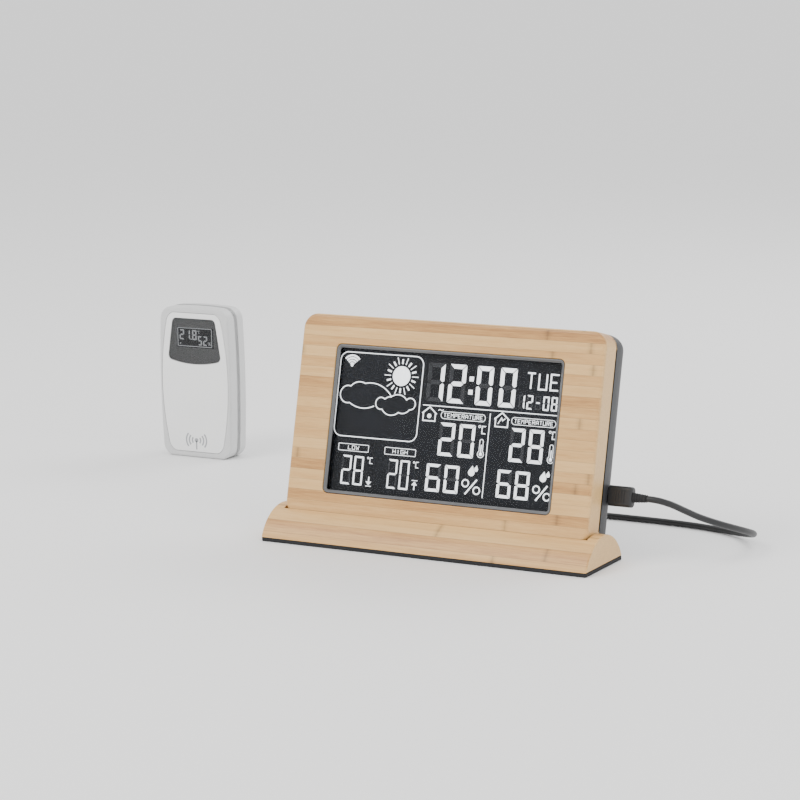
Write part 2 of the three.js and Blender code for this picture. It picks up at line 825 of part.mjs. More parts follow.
function buildLead() {
  const group = new THREE.Group();
  const plug = new THREE.Group();
  plug.position.copy(plugCentre);
  plug.rotation.x = -lean;
  group.add(plug);
  const plugEnd = plugFace + plugLength;
  addNode(
    plug,
    'plug_overmould',
    taperX(plugFace, plugEnd, [plugHalfDepth, plugHalfHeight], [plugHalfDepth, plugHalfHeight], 1.6),
    looks.blackPlastic,
  );
  addNode(
    plug,
    'plug_shell',
    boxBetween([plugFace - 6.2, -0.9, -3.4], [plugFace - gap, 0.9, 3.4]),
    looks.steel,
  );
  addNode(
    plug,
    'strain_relief',
    taperX(
      plugEnd + gap,
      plugEnd + gap + reliefLength,
      [plugHalfDepth - 0.4, reliefHalfHeight],
      [cordRadius + 0.4, cordRadius + 0.4],
      1.4,
    ),
    looks.rubber,
  );
  addNode(group, 'lead_cord', cordTube(leadRoute, 76), looks.rubber);
  addNode(group, 'lead_tail', cordTube(tailRoute, 16), looks.rubber);
  addNode(group, 'lead_coil', coilRing(), looks.rubber);
  addNode(group, 'coil_tie', coilTie(), looks.blackPlastic);

  const farPlug = new THREE.Group();
  const tailEnd = tailRoute[tailRoute.length - 1];
  farPlug.position.set(tailEnd[0] - gap, tailEnd[1], tailEnd[2]);
  group.add(farPlug);
  const bodyLength = 32;
  addNode(
    farPlug,
    'usb_a_body',
    taperX(-bodyLength, 0, [8, 4], [4.5, 3], 2),
    looks.blackPlastic,
  );
  addNode(
    farPlug,
    'usb_a_shell',
    boxBetween([-bodyLength - gap - 12, -6, -2.2], [-bodyLength - gap, 6, 2.2]),
    looks.steel,
  );
  return group;
}

// ---- remote sensor -------------------------------------------------------------------------------
// The case is a rounded block whose sides bow out and whose top is arched.
function sensorOutline(inset) {
  const middle = half(sensorHeight);
  const top = sensorHeight - sensorArch;
  return roundedOutline(
    half(sensorWidth) - inset,
    inset,
    top - inset,
    Math.max(sensorCorner - inset, 2),
    6,
  ).map(([x, z]) => {
    const up = (z - middle) / middle;
    const across = x / half(sensorWidth);
    const rise = up > 0 ? sensorArch * (1 - across ** 2) * up : 0;
    return [x * (1 - sensorBulge * up ** 2), z + rise];
  });
}

const faceBottom = 4;
const faceTop = sensorHeight - 4.5;
const faceHalf = 27;
const faceEndHalf = 21;
function faceOutline(inset) {
  const middle = half(faceBottom + faceTop);
  const reach = half(faceTop - faceBottom);
  return roundedOutline(faceHalf - inset, faceBottom + inset, faceTop - inset, 6 - inset, 8).map(([x, z]) => {
    const up = (z - middle) / reach;
    return [x * (1 - (1 - faceEndHalf / faceHalf) * up ** 2), z];
  });
}

const lensTop = sensorHeight - 8.5;
const lensBottom = lensTop - 28.5;
const lensHalf = 21.5;
const lensNarrow = 0.2;             // share of its width that the lens loses at its top
const lensSag = 3;                  // dip of its curved lower edge
function lensOutline(inset) {
  return roundedOutline(lensHalf - inset, lensBottom + inset, lensTop - inset, 3 - inset, 6).map(([x, z]) => {
    const up = (z - lensBottom) / (lensTop - lensBottom);
    const sag = lensSag * (1 - (x / lensHalf) ** 2) * (1 - up);
    return [x * (1 - lensNarrow * up), z - sag];
  });
}

const faceSink = 1.2;
const sensorScrewX = half(sensorWidth) - 9.4;
const sensorLcd = {
  halfWidth: sensorScrewX - 3.1,
  bottom: sensorHeight - 30,
  top: sensorHeight - 13.6,
};
const sensorBoardTop = sensorHeight - 18;
const sensorScrewZ = sensorHeight - 14;
const sensorScrewPlaces = [[-sensorScrewX, sensorScrewZ], [sensorScrewX, sensorScrewZ]];
const sensorBayHalf = cellPitch + 2;
const sensorDoorHalf = sensorBayHalf + 4;
const sensorDoorBottom = sensorBayBottom - 3;
const sensorDoorTop = sensorBayTop + 3;
const sensorCellX = half(cellPitch);
const switchPlace = [-6, sensorBayTop - half(sensorSwitchRoom) + 0.3];
const switchTravel = 2;
const resetPlace = [7, switchPlace[1]];
const resetTravel = 0.4;

function sensorFrontShell() {
  const body = plate(sensorOutline, 0, sensorSeam, [1.6, 1.6]);
  const hollow = plate(() => sensorOutline(sensorWall), sensorFrontWall, sensorSeam + cutOver);
  const faceSeat = plate(() => faceOutline(-gap), -cutOver, faceSink);
  const lcdOpening = slab(
    sensorLcd.halfWidth - 1,
    sensorLcd.bottom + 1,
    sensorLcd.top - 1,
    0,
    sensorFrontWall + cutOver,
  );
  const posts = sensorScrewPlaces.map(([x, z]) => {
    const postFront = sensorFrontWall - 0.5;
    return rodY(x, z, 2.6, postFront, sensorSeam, 12);
  });
  const pilots = sensorScrewPlaces.map(([x, z]) => rodY(x, z, 1.2, 5, sensorSeam + cutOver, 10));
  return cut(join(cut(body, hollow), ...posts), faceSeat, lcdOpening, ...pilots);
}

function sensorRearShell() {
  const body = plate(sensorOutline, sensorSplit, sensorDepth, [0, 0], [4, 4]);
  const hollow = plate(() => sensorOutline(sensorWall + 0.8), sensorSplit - cutOver, sensorRearInner);
  const tray = boxBetween(
    [-sensorDoorHalf - 1.5, sensorBayFloor - 1, sensorDoorBottom - 2],
    [sensorDoorHalf + 1.5, sensorRearInner + 0.5, sensorDoorTop + 1.5],
  );
  const bay = boxBetween(
    [-sensorBayHalf, sensorBayFloor, sensorBayBottom],
    [sensorBayHalf, sensorDepth + cutOver, sensorBayTop],
  );
  const recess = boxBetween(
    [-sensorDoorHalf - doorGap, sensorBayRear, sensorDoorBottom - doorGap],
    [sensorDoorHalf + doorGap, sensorDepth + cutOver, sensorDoorTop + doorGap],
  );
  const switchSlot = boxBetween(
    [switchPlace[0] - switchTravel - 1.8, sensorBayFloor - 2, switchPlace[1] - 1.8],
    [switchPlace[0] + switchTravel + 1.8, sensorBayFloor + cutOver, switchPlace[1] + 1.8],
  );
  const resetHole = rodY(resetPlace[0], resetPlace[1], 2, sensorBayFloor - 2, sensorBayFloor + 1, 12);
  const screwHoles = sensorScrewPlaces.flatMap(([x, z]) => [
    rodY(x, z, 1.4, sensorSplit - cutOver, sensorDepth, 10),
    rodY(x, z, 2.6, sensorDepth - 2.2, sensorDepth + cutOver, 12),
  ]);
  const screwPosts = sensorScrewPlaces.map(([x, z]) => {
    const postRear = sensorRearInner + 0.5;
    return rodY(x, z, 3.4, sensorSplit, postRear, 12);
  });
  const keyholeZ = sensorHeight - 15;
  const keyhole = [
    rodY(0, keyholeZ, 3.6, sensorRearInner - cutOver, sensorDepth + cutOver),
    boxBetween(
      [-1.8, sensorRearInner - cutOver, keyholeZ],
      [1.8, sensorDepth + cutOver, keyholeZ + 6],
    ),
  ];
  const shell = join(cut(body, hollow), tray, ...screwPosts);
  return cut(shell, bay, recess, switchSlot, resetHole, ...screwHoles, ...keyhole);
}

function sensorFaceplate() {
  const face = plate(faceOutline, 0, faceSink - gap);
  return cut(face, plate(() => lensOutline(-gap), -cutOver, faceSink + cutOver));
}

function channelSwitch() {
  const [x, z] = switchPlace;
  const front = sensorBoardRear + gap;
  const slider = boxBetween([x - 4.2, front, z - 3], [x + 4.2, sensorBayFloor - 1 - gap, z + 3]);
  const knob = boxBetween([x - 1.4, front, z - 1.4], [x + 1.4, sensorBayFloor + 2, z + 1.4]);
  return join(slider, knob);
}

function resetButton() {
  const [x, z] = resetPlace;
  const low = sensorBoardRear + gap + resetTravel;
  const stem = rodY(x, z, 1.5, low, sensorBayFloor + 0.8, 12);
  const flange = rodY(x, z, 2.8, low, sensorBayFloor - 1 - gap, 12);
  return join(stem, flange);
}

function buildSensor() {
  const group = new THREE.Group();
  group.position.set(sensorPlace[0], sensorPlace[1], 0);
  addNode(group, 'sensor_front_shell', sensorFrontShell(), looks.whitePlastic);
  addNode(group, 'sensor_rear_shell', sensorRearShell(), looks.whitePlastic);
  addNode(group, 'sensor_faceplate', sensorFaceplate(), looks.whitePlastic);
  addNode(group, 'sensor_lens', plate(lensOutline, 0, faceSink - gap), looks.darkGlass);
  const lcd = slab(sensorLcd.halfWidth, sensorLcd.bottom, sensorLcd.top, sensorLcdFront, sensorLcdRear);
  addNode(group, 'sensor_lcd', lcd, looks.darkGlass);
  const boardHalf = half(sensorWidth) - 8;
  const board = slab(boardHalf, 7, sensorBoardTop, sensorBoardFront, sensorBoardRear);
  addNode(group, 'sensor_board', board, looks.greenBoard);
  const probe = boxBetween(
    [-4, sensorBoardFront, sensorBoardTop + 3],
    [4, sensorBoardFront + 3, sensorBoardTop + 9],
  );
  addNode(group, 'sensor_probe', probe, looks.whitePlastic);
  const door = hingedDoor(sensorDoorHalf, sensorDoorBottom, sensorDoorTop, sensorDepth, 5);
  addNode(group, 'sensor_battery_door', door, looks.whitePlastic);
  [-1, 1].forEach((side, i) => {
    const cell = addNode(group, `sensor_cell_${i + 1}`, batteryCell(), looks.cellJacket);
    cell.rotation.x = (side * Math.PI) / 2;
    const foot = side > 0 ? sensorCellBottom : sensorCellBottom + cellLength;
    cell.position.set(side * sensorCellX, sensorCellY, foot);
  });
  const strip = (low, high) => boxBetween(
    [-10.4, sensorCellY - 4, low],
    [10.4, sensorCellY + 4, high],
  );
  const cellTop = sensorCellBottom + cellLength;
  addNode(group, 'sensor_contact_lower', strip(sensorBayBottom + gap, sensorCellBottom - gap), looks.steel);
  addNode(group, 'sensor_contact_upper', strip(cellTop + gap, cellTop + 2), looks.steel);
  addNode(group, 'sensor_channel_switch', channelSwitch(), looks.blackPlastic);
  addNode(group, 'sensor_reset_button', resetButton(), looks.blackPlastic);
  sensorScrewPlaces.forEach(([x, z], i) => {
    const length = 14;
    const screw = addNode(group, `sensor_screw_${i + 1}`, screwY(2.2, 1.5, 0.9, length), looks.steel);
    screw.position.set(x, sensorDepth - 0.4 - length, z);
  });
  return group;
}

// ---- the whole station ---------------------------------------------------------------------------
const station = new THREE.Group();
station.add(buildConsole());
addNode(station, 'stand_base', standBase(), looks.bamboo);
addNode(station, 'stand_pad', standPad(), looks.rubber);
station.add(buildLead());
station.add(buildSensor());

export default station;
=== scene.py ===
import json
import math

import bmesh
import bpy
from mathutils import Matrix, Vector


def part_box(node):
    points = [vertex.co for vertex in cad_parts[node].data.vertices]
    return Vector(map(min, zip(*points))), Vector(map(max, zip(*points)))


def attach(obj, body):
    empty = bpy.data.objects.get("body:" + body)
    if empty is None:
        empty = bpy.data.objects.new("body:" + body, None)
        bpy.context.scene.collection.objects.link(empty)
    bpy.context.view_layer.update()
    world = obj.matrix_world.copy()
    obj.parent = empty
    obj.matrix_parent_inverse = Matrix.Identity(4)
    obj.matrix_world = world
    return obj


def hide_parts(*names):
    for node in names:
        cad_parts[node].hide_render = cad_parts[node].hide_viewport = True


# Looks of the home weather station: bamboo console and stand, USB lead, remote sensor.
# Lengths are millimetres in each unit's own frame until a mesh is made, and metres after that.

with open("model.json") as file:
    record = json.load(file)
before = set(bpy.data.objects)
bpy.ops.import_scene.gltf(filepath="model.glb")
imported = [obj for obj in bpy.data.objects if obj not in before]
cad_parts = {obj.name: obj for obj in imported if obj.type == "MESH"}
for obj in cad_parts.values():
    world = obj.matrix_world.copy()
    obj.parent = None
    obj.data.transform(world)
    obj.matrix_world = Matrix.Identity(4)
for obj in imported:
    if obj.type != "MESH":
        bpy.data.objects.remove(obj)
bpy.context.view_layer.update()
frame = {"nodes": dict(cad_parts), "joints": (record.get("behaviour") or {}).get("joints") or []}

MM = 0.001
GAP = 0.3             # between touching pieces
SEAT = 4.0            # how far the console sits down in the stand
CORD_RADIUS = 1.9
COIL_CENTRE = (-20.0, 92.0)
TIE = 0.6             # thickness of the coil's tie
BAY_DEPTH = 11.1      # of a battery bay, behind its door
CASE_CORNER = 9.0     # the console's corners
ROUND = 10            # steps round a quarter circle


# ---- camera, floor and light ----
def make_camera():
    """A pinhole camera, with the place and lens that were fitted to the picture's drawing."""
    data = bpy.data.cameras.new("camera")
    data.sensor_width = 36
    data.lens = 116.76
    camera = bpy.data.objects.new("camera", data)
    bpy.context.scene.collection.objects.link(camera)
    place, target = Vector((0.69968, -1.31443, 0.35406)), Vector((-0.02425, 0, 0.08784))
    look = (target - place).to_track_quat("-Z", "Y")
    roll = Matrix.Rotation(math.radians(-0.806), 4, "Z")
    camera.matrix_world = Matrix.Translation(place) @ look.to_matrix().to_4x4() @ roll
    bpy.context.scene.camera = camera


def area_light(name, place, target, size, watts, tint):
    data = bpy.data.lights.new(name, "AREA")
    data.shape = "RECTANGLE"
    data.size, data.size_y = size
    data.energy = watts
    data.color = tint
    light = bpy.data.objects.new(name, data)
    bpy.context.scene.collection.objects.link(light)
    aim = (Vector(target) - Vector(place)).to_track_quat("-Z", "Y")
    light.matrix_world = Matrix.Translation(place) @ aim.to_matrix().to_4x4()


def make_studio():
    world = bpy.data.worlds.new("studio")
    world.use_nodes = True
    sky = world.node_tree.nodes["Background"]
    sky.inputs["Color"].default_value = (1, 1, 1, 1)
    sky.inputs["Strength"].default_value = 1.35
    bpy.context.scene.world = world
    middle = (-0.05, 0.05, 0.05)
    area_light("key", (-0.75, -1.0, 1.35), middle, (0.9, 0.7), 15, (1, 0.985, 0.96))
    area_light("fill", (1.3, -0.5, 0.7), middle, (0.8, 0.8), 5, (0.95, 0.975, 1))
    area_light("back", (0.35, 1.2, 1.1), middle, (1.0, 0.5), 9, (1, 1, 1))


def make_floor():
    bpy.ops.mesh.primitive_plane_add(size=60, location=(0, 0, -0.0001))
    floor = bpy.context.object
    floor.name = "floor"
    look = Look("pale_floor")
    look.set(Base_Color=(0.9, 0.9, 0.9, 1), Roughness=0.6)
    floor.data.materials.append(look.material)


# ---- node materials ----
class Look:
    """A node material while it is being built."""

    def __init__(self, name):
        self.material = bpy.data.materials.new(name)
        self.material.use_nodes = True
        self.tree = self.material.node_tree
        self.shader = self.tree.nodes["Principled BSDF"]
        self.where = self.add("TexCoord").outputs["Object"]

    def set(self, **values):
        for name, value in values.items():
            self.shader.inputs[name.replace("_", " ")].default_value = value

    def add(self, kind, inputs=None, **settings):
        node = self.tree.nodes.new("ShaderNode" + kind)
        for name, value in settings.items():
            setattr(node, name, value)
        for name, value in (inputs or {}).items():
            if isinstance(value, bpy.types.NodeSocket):
                self.tree.links.new(value, node.inputs[name])
            else:
                node.inputs[name].default_value = value
        return node

    def math(self, operation, first, second=0.0, third=0.0):
        inputs = {0: first, 1: second, 2: third}
        return self.add("Math", inputs, operation=operation).outputs[0]

    def stretched(self, scale):
        node = self.add("Mapping", {"Vector": self.where, "Scale": scale})
        return node.outputs["Vector"]

    def noise(self, vector, scale, detail=3.0, roughness=0.55):
        values = {"Vector": vector, "Scale": scale, "Detail": detail, "Roughness": roughness}
        return self.add("TexNoise", values).outputs["Fac"]

    def ramp(self, factor, stops):
        node = self.add("ValToRGB", {"Fac": factor})
        edge = node.color_ramp.elements
        while len(edge) < len(stops):
            edge.new(0.5)
        for item, (place, colour) in zip(edge, stops):
            item.position = place
            item.color = (*colour, 1)
        return node.outputs["Color"]

    def between(self, factor, low, high):
        node = self.add("MapRange", {"Value": factor, "To Min": low, "To Max": high})
        return node.outputs["Result"]

    def rough(self, factor, low, high):
        self.drive("Roughness", self.between(factor, low, high))

    def paint(self, factor, stops):
        self.drive("Base Color", self.ramp(factor, stops))

    def mix(self, factor, first, second, blend="MIX"):
        inputs = {0: factor, 6: first, 7: second}
        return self.add("Mix", inputs, data_type="RGBA", blend_type=blend).outputs[2]

    def drive(self, name, socket):
        self.tree.links.new(socket, self.shader.inputs[name])

    def bump(self, height, depth_mm, strength=1.0, under=None):
        inputs = {"Height": height, "Distance": depth_mm * MM, "Strength": strength}
        if under is not None:
            inputs["Normal"] = under
        normal = self.add("Bump", inputs).outputs["Normal"]
        self.drive("Normal", normal)
        return normal


def shaded(colour, share):
    return tuple(min(1, value * share) for value in colour)


def bamboo():
    """Strips glued side by side, each with its own tone, fibres along X and a knuckle here and there."""
    look = Look("bamboo")
    strip_height = 6.2 * MM
    parts = look.add("SeparateXYZ", {"Vector": look.where}).outputs
    along, deep, up = parts["X"], parts["Y"], parts["Z"]
    in_strips = look.math("DIVIDE", up, strip_height)
    strip = look.math("FLOOR", in_strips)
    tone = look.add("TexWhiteNoise", {"W": strip}, noise_dimensions="1D").outputs["Value"]
    shift = look.math("MULTIPLY_ADD", tone, 0.9, along)
    fibre_place = look.add("CombineXYZ", {"X": shift, "Y": deep, "Z": up}).outputs[0]
    fibre_stretch = look.add("Mapping", {"Vector": fibre_place, "Scale": (0.035, 1, 1)}).outputs[0]
    fine = look.noise(fibre_stretch, 2600, 4, 0.65)
    broad = look.noise(fibre_stretch, 420, 3)
    cloudy = look.noise(fibre_place, 16, 2)
    grain = look.math("MULTIPLY_ADD", fine, 0.45, look.math("MULTIPLY", broad, 0.4))
    toned = look.math("MULTIPLY_ADD", tone, 0.3, grain)
    toned = look.math("MULTIPLY_ADD", cloudy, 0.16, toned)
    colour = look.ramp(toned, [
        (0.38, (0.31, 0.137, 0.038)),
        (0.52, (0.50, 0.254, 0.075)),
        (0.66, (0.62, 0.350, 0.118)),
        (0.82, (0.72, 0.445, 0.175)),
    ])
    # A knuckle crosses a strip about every 190 mm, at its own place in each strip.
    knuckle_run = look.math("FRACT", look.math("MULTIPLY_ADD", along, 5.2, look.math("MULTIPLY", tone, 7.3)))
    knuckle_off = look.math("ABSOLUTE", look.math("SUBTRACT", knuckle_run, 0.5))
    wavy = look.math("MULTIPLY_ADD", broad, 0.012, knuckle_off)
    knuckle = look.ramp(wavy, [(0.006, (0.42,) * 3), (0.0115, (0.78,) * 3), (0.022, (1,) * 3)])
    colour = look.mix(0.75, colour, knuckle, "MULTIPLY")
    # The glue line between two strips.
    edge = look.math("ABSOLUTE", look.math("SUBTRACT", look.math("FRACT", in_strips), 0.5))
    glue = look.ramp(edge, [(0.0, (1,) * 3), (0.475, (1,) * 3), (0.496, (0.6,) * 3)])
    colour = look.mix(1.0, colour, glue, "MULTIPLY")
    # Cut ends show the fibres as dark dots.
    dots = look.add("TexVoronoi", {"Vector": look.stretched((0.2, 1, 1)), "Scale": 2100}).outputs["Distance"]
    ends = look.ramp(dots, [(0.12, (0.40, 0.215, 0.08)), (0.5, (0.66, 0.42, 0.175))])
    facing = look.add("TexCoord").outputs["Normal"]
    sideways = look.math("ABSOLUTE", look.add("SeparateXYZ", {"Vector": facing}).outputs["X"])
    cut_end = look.between(sideways, -3.0, 1.0)
    colour = look.mix(cut_end, colour, ends)
    look.drive("Base Color", colour)
    look.rough(fine, 0.36, 0.56)
    look.set(Coat_Weight=0.18, Coat_Roughness=0.32)
    relief = look.math("MULTIPLY_ADD", look.math("LESS_THAN", edge, 0.49), 0.5, fine)
    look.bump(relief, 0.05, 0.5)
    return look.material


def moulded(name, colour, rough, grain_mm=0.35, depth_mm=0.02, specular=0.5, drift=0.12):
    """Moulded plastic with a spark-eroded grain."""
    look = Look(name)
    grain = look.noise(look.where, 1 / (grain_mm * MM), 3)
    patches = look.noise(look.where, 45, 3)
    look.paint(patches, [(0.3, shaded(colour, 1 - drift)), (0.7, shaded(colour, 1 + drift))])
    rough_mix = look.math("MULTIPLY_ADD", grain, 0.6, look.math("MULTIPLY", patches, 0.4))
    look.rough(rough_mix, rough - 0.12, rough + 0.12)
    look.set(Specular_IOR_Level=specular)
    look.bump(grain, depth_mm, 0.6)
    return look.material


def smoked_acrylic(name, colour, cover):
    """A thin satin pane: cover is how much of what lies behind it is hidden."""
    look = Look(name)
    haze = look.noise(look.where, 60, 2)
    look.rough(haze, 0.306, 0.374)
    look.set(Base_Color=(*colour, 1), Alpha=cover, IOR=1.49, Specular_IOR_Level=0.5)
    ripple = look.noise(look.where, 22, 1)
    look.bump(ripple, 0.02, 0.15)
    return look.material


def dark_lcd():
    """A black liquid-crystal cell with a faint cast and the fine grid of its polariser."""
    look = Look("lcd")
    cast = look.noise(look.where, 14, 2)
    look.paint(cast, [(0.3, (0.004, 0.005, 0.007)), (0.7, (0.009, 0.011, 0.016))])
    weave = look.noise(look.stretched((1, 1, 0.1)), 700, 1)
    look.rough(weave, 0.32, 0.36)
    look.set(Specular_IOR_Level=0.25)
    look.bump(cast, 0.05, 0.2)
    return look.material


def lit_segments(name, colour, strength):
    """Segments lit from behind, a little uneven as a light guide is."""
    look = Look(name)
    guide = look.noise(look.where, 24, 2)
    glow = look.ramp(guide, [(0.3, shaded(colour, 0.84)), (0.7, colour)])
    look.drive("Base Color", glow)
    look.drive("Emission Color", glow)
    look.rough(guide, 0.4, 0.55)
    look.set(Emission_Strength=strength)
    return look.material


def brushed_steel(name, colour=(0.58, 0.585, 0.6), stretch=(0.06, 1, 1), rough=0.3):
    """Metal with fine scratches along the axis that is stretched."""
    look = Look(name)
    brush = look.noise(look.stretched(stretch), 3000, 4, 0.7)
    spots = look.noise(look.where, 120, 3)
    look.paint(spots, [(0.35, shaded(colour, 0.82)), (0.65, colour)])
    look.rough(brush, rough - 0.1, rough + 0.15)
    look.set(Metallic=1.0)
    look.bump(brush, 0.01, 0.5)
    return look.material


def circuit_board():
    """Green lacquer over tracks, with tinned pads."""
    look = Look("circuit_board")
    tracks = look.add("TexBrick", {
        "Vector": look.where, "Scale": 260, "Mortar Size": 0.06,
        "Color1": (0.012, 0.10, 0.045, 1), "Color2": (0.016, 0.13, 0.055, 1),
        "Mortar": (0.03, 0.21, 0.09, 1),
    })
    pads = look.add("TexVoronoi", {"Vector": look.where, "Scale": 330}).outputs["Distance"]
    solder = look.ramp(pads, [(0.10, (1, 1, 1)), (0.13, (0, 0, 0))])
    colour = look.mix(solder, tracks.outputs["Color"], (0.62, 0.62, 0.6, 1))
    look.drive("Base Color", colour)
    look.drive("Metallic", solder)
    look.rough(look.noise(look.where, 400), 0.3, 0.5)
    look.bump(pads, 0.05, 0.5)
    return look.material


def woven_tie():
    """A hook-and-loop band: a tangle of fine loops."""
    look = Look("tie_cloth")
    tangle = look.add("TexVoronoi", {"Vector": look.where, "Scale": 2600}).outputs["Distance"]
    fuzz = look.noise(look.where, 5200, 4)
    look.paint(tangle, [(0.1, (0.008,) * 3), (0.7, (0.035,) * 3)])
    look.rough(fuzz, 0.8, 1.0)
    look.set(Sheen_Weight=0.35, Sheen_Roughness=0.5)
    look.bump(look.math("ADD", tangle, fuzz), 0.12, 0.8)
    return look.material


def cell_jacket():
    """A printed foil jacket with a copper-coloured band, and no lettering."""
    look = Look("cell_jacket")
    along = look.add("SeparateXYZ", {"Vector": look.where}).outputs["Z"]
    band = look.ramp(look.math("MULTIPLY", along, 20), [
        (0.0, (0.018, 0.05, 0.12)), (0.60, (0.02, 0.06, 0.14)), (0.61, (0.55, 0.28, 0.13)),
        (0.86, (0.55, 0.28, 0.13)), (0.87, (0.5, 0.5, 0.5)),
    ])
    foil = look.noise(look.stretched((1, 1, 0.1)), 900, 3)
    look.drive("Base Color", band)
    look.rough(foil, 0.2, 0.42)
    look.set(Metallic=0.55)
    look.bump(foil, 0.01, 0.4)
    return look.material


def milky(name, colour):
    """A pale or dark plastic with a soft cloud in it and a field of fine dots."""
    look = Look(name)
    cloud = look.noise(look.where, 90, 3)
    dots = look.add("TexVoronoi", {"Vector": look.where, "Scale": 900}).outputs["Distance"]
    look.paint(cloud, [(0.3, shaded(colour, 0.93)), (0.7, colour)])
    look.rough(dots, 0.3, 0.5)
    look.bump(dots, 0.02, 0.4)
    return look.material


# ---- mesh helpers ----
def new_piece(name, points, faces, place):
    """An object from points in millimetres, its corners welded and its normals facing out."""
    mesh = bpy.data.meshes.new(name)
    mesh.from_pydata([[value * MM for value in point] for point in points], [], faces)
    work = bmesh.new()
    work.from_mesh(mesh)
    bmesh.ops.remove_doubles(work, verts=work.verts, dist=1e-7)
    bmesh.ops.recalc_face_normals(work, faces=work.faces)
    work.to_mesh(mesh)
    work.free()
    piece = bpy.data.objects.new(name, mesh)
    bpy.context.scene.collection.objects.link(piece)
    piece.matrix_world = place
    return piece


def loft(name, rings, place, closed=False):
    """A skin over rings with equal counts: capped at both ends, or joined end to end."""
    count = len(rings[0])
    points = [point for ring in rings for point in ring]
    faces = []
    spans = len(rings) if closed else len(rings) - 1
    for row in range(spans):
        here, there = row * count, ((row + 1) % len(rings)) * count
        for i in range(count):
            after = (i + 1) % count
            faces.append((here + i, here + after, there + after, there + i))
    if not closed:
        last = (len(rings) - 1) * count
        faces.append(tuple(range(count)))
        faces.append(tuple(range(last, last + count)))
    return new_piece(name, points, faces, place)


def arc(x, z, radius, start, sweep, steps):
    """Points (x, z) along an arc, its angles in degrees."""
    angles = [math.radians(start + sweep * i / steps) for i in range(steps + 1)]
    return [(x + radius * math.cos(angle), z + radius * math.sin(angle)) for angle in angles]


def quarter(steps):
    """How far an eased edge has gone over and down, from 0 to 1, along a quarter circle."""
    angles = [math.pi / 2 * i / steps for i in range(steps + 1)]
    return [(1 - math.cos(angle), 1 - math.sin(angle)) for angle in angles]


def rounded(half, bottom, top, radius, corner_steps=ROUND, side_steps=1):
    """Points (x, z) round a rectangle with rounded corners."""
    radius = max(radius, 0.02)
    right, left, low, high = half - radius, radius - half, bottom + radius, top - radius
    points = []
    for x, z, start in ((right, low, -90), (right, high, 0), (left, high, 90), (left, low, 180)):
        points += arc(x, z, radius, start, 90, corner_steps)
    filled = []
    for i, (x, z) in enumerate(points):
        next_x, next_z = points[(i + 1) % len(points)]
        steps = side_steps if i % (corner_steps + 1) == corner_steps else 1
        for k in range(steps):
            share = k / steps
            filled.append((x + (next_x - x) * share, z + (next_z - z) * share))
    return filled


def eased_edge(at, way, inwards, along, steps):
    """Pairs (inset, y) of a quarter-round edge that starts at one face, or of a sharp one."""
    if not along:
        return [(0, at)]
    return [(inwards * down, at + way * along * over) for over, down in quarter(steps)]


def edge_profile(front, rear, front_edge=(0, 0), rear_edge=(0, 0), steps=6):
    """Pairs (inset, y) from front to rear, with quarter-round edges [inwards, along y]."""
    return eased_edge(front, 1, *front_edge, steps) + eased_edge(rear, -1, *rear_edge, steps)[::-1]


def plate(name, outline_at, profile, place, closed=False):
    """A body facing front and back through pairs (inset, y). If closed, they run round a ring's section."""
    rings = [[(x, y, z) for x, z in outline_at(inset)] for inset, y in profile]
    return loft(name, rings, place, closed)


def hole(outline_at, start, surface, ease, place):
    """A cutter that leaves through a surface and eases the edge it leaves there."""
    way = 1 if surface > start else -1
    profile = [(0, start)]
    profile += [(-ease * over, surface - way * ease * down) for over, down in quarter(4)]
    profile.append((-ease, surface + way))
    return plate("cutter", outline_at, profile, place)


def block(low, high, place):
    """A square-edged cutter."""
    outline = [(low[0], low[2]), (high[0], low[2]), (high[0], high[2]), (low[0], high[2])]
    return plate("cutter", lambda inset: outline, [(0, low[1]), (0, high[1])], place)


def circle_at(x, z, radius, steps=28):
    def outline(inset):
        turn = [2 * math.pi * i / steps for i in range(steps)]
        size = radius - inset
        return [(x + size * math.cos(a), z + size * math.sin(a)) for a in turn]
    return outline


def pill_at(x, z, half_length, radius, steps=ROUND):
    def outline(inset):
        size = radius - inset
        shape = rounded(half_length - inset, -size, size, size - 0.01, steps)
        return [(x + px, z + pz) for px, pz in shape]
    return outline


def box_at(low, high, radius, steps=5):
    middle, half = (low[0] + high[0]) / 2, (high[0] - low[0]) / 2

    def outline(inset):
        shape = rounded(half - inset, low[1] + inset, high[1] - inset, radius - inset, steps)
        return [(middle + x, z) for x, z in shape]
    return outline


def turned(name, profile, place, sides=40):
    """A turned body about its own Z: profile points are (radius, z)."""
    rings = [[(x, y, z) for x, y in circle_at(0, 0, radius, sides)(0)] for radius, z in profile]
    return loft(name, rings, place)


def shape_with(piece, tools, operation):
    """Cuts or joins with each tool in turn, and keeps only the result."""
    for tool in tools:
        modifier = piece.modifiers.new("shape", "BOOLEAN")
        modifier.operation = operation
        modifier.object = tool
        modifier.solver = "EXACT"
    bpy.context.view_layer.update()
    graph = bpy.context.evaluated_depsgraph_get()
    mesh = bpy.data.meshes.new_from_object(piece.evaluated_get(graph))
    piece.modifiers.clear()
    piece.data = mesh
    for tool in tools:
        bpy.data.objects.remove(tool)
    return piece


def cut(piece, *tools):
    return shape_with(piece, tools, "DIFFERENCE")


def join(piece, *tools):
    return shape_with(piece, tools, "UNION")


def done(piece, material, body, slot, *nodes, angle=32):
    """Shades a piece, dresses it, hangs it under the empty of the body it rides on, and hides the CAD nodes
    it stands for.
    """
    if piece.type == "MESH":
        for face in piece.data.polygons:
            face.use_smooth = True
        piece.data.set_sharp_from_angle(angle=math.radians(angle))
        weights = piece.modifiers.new("even_normals", "WEIGHTED_NORMAL")
        weights.keep_sharp = True
    piece.data.materials.clear()
    piece.data.materials.append(material)
    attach(piece, body)
    if nodes:
        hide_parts(*nodes)
    return piece


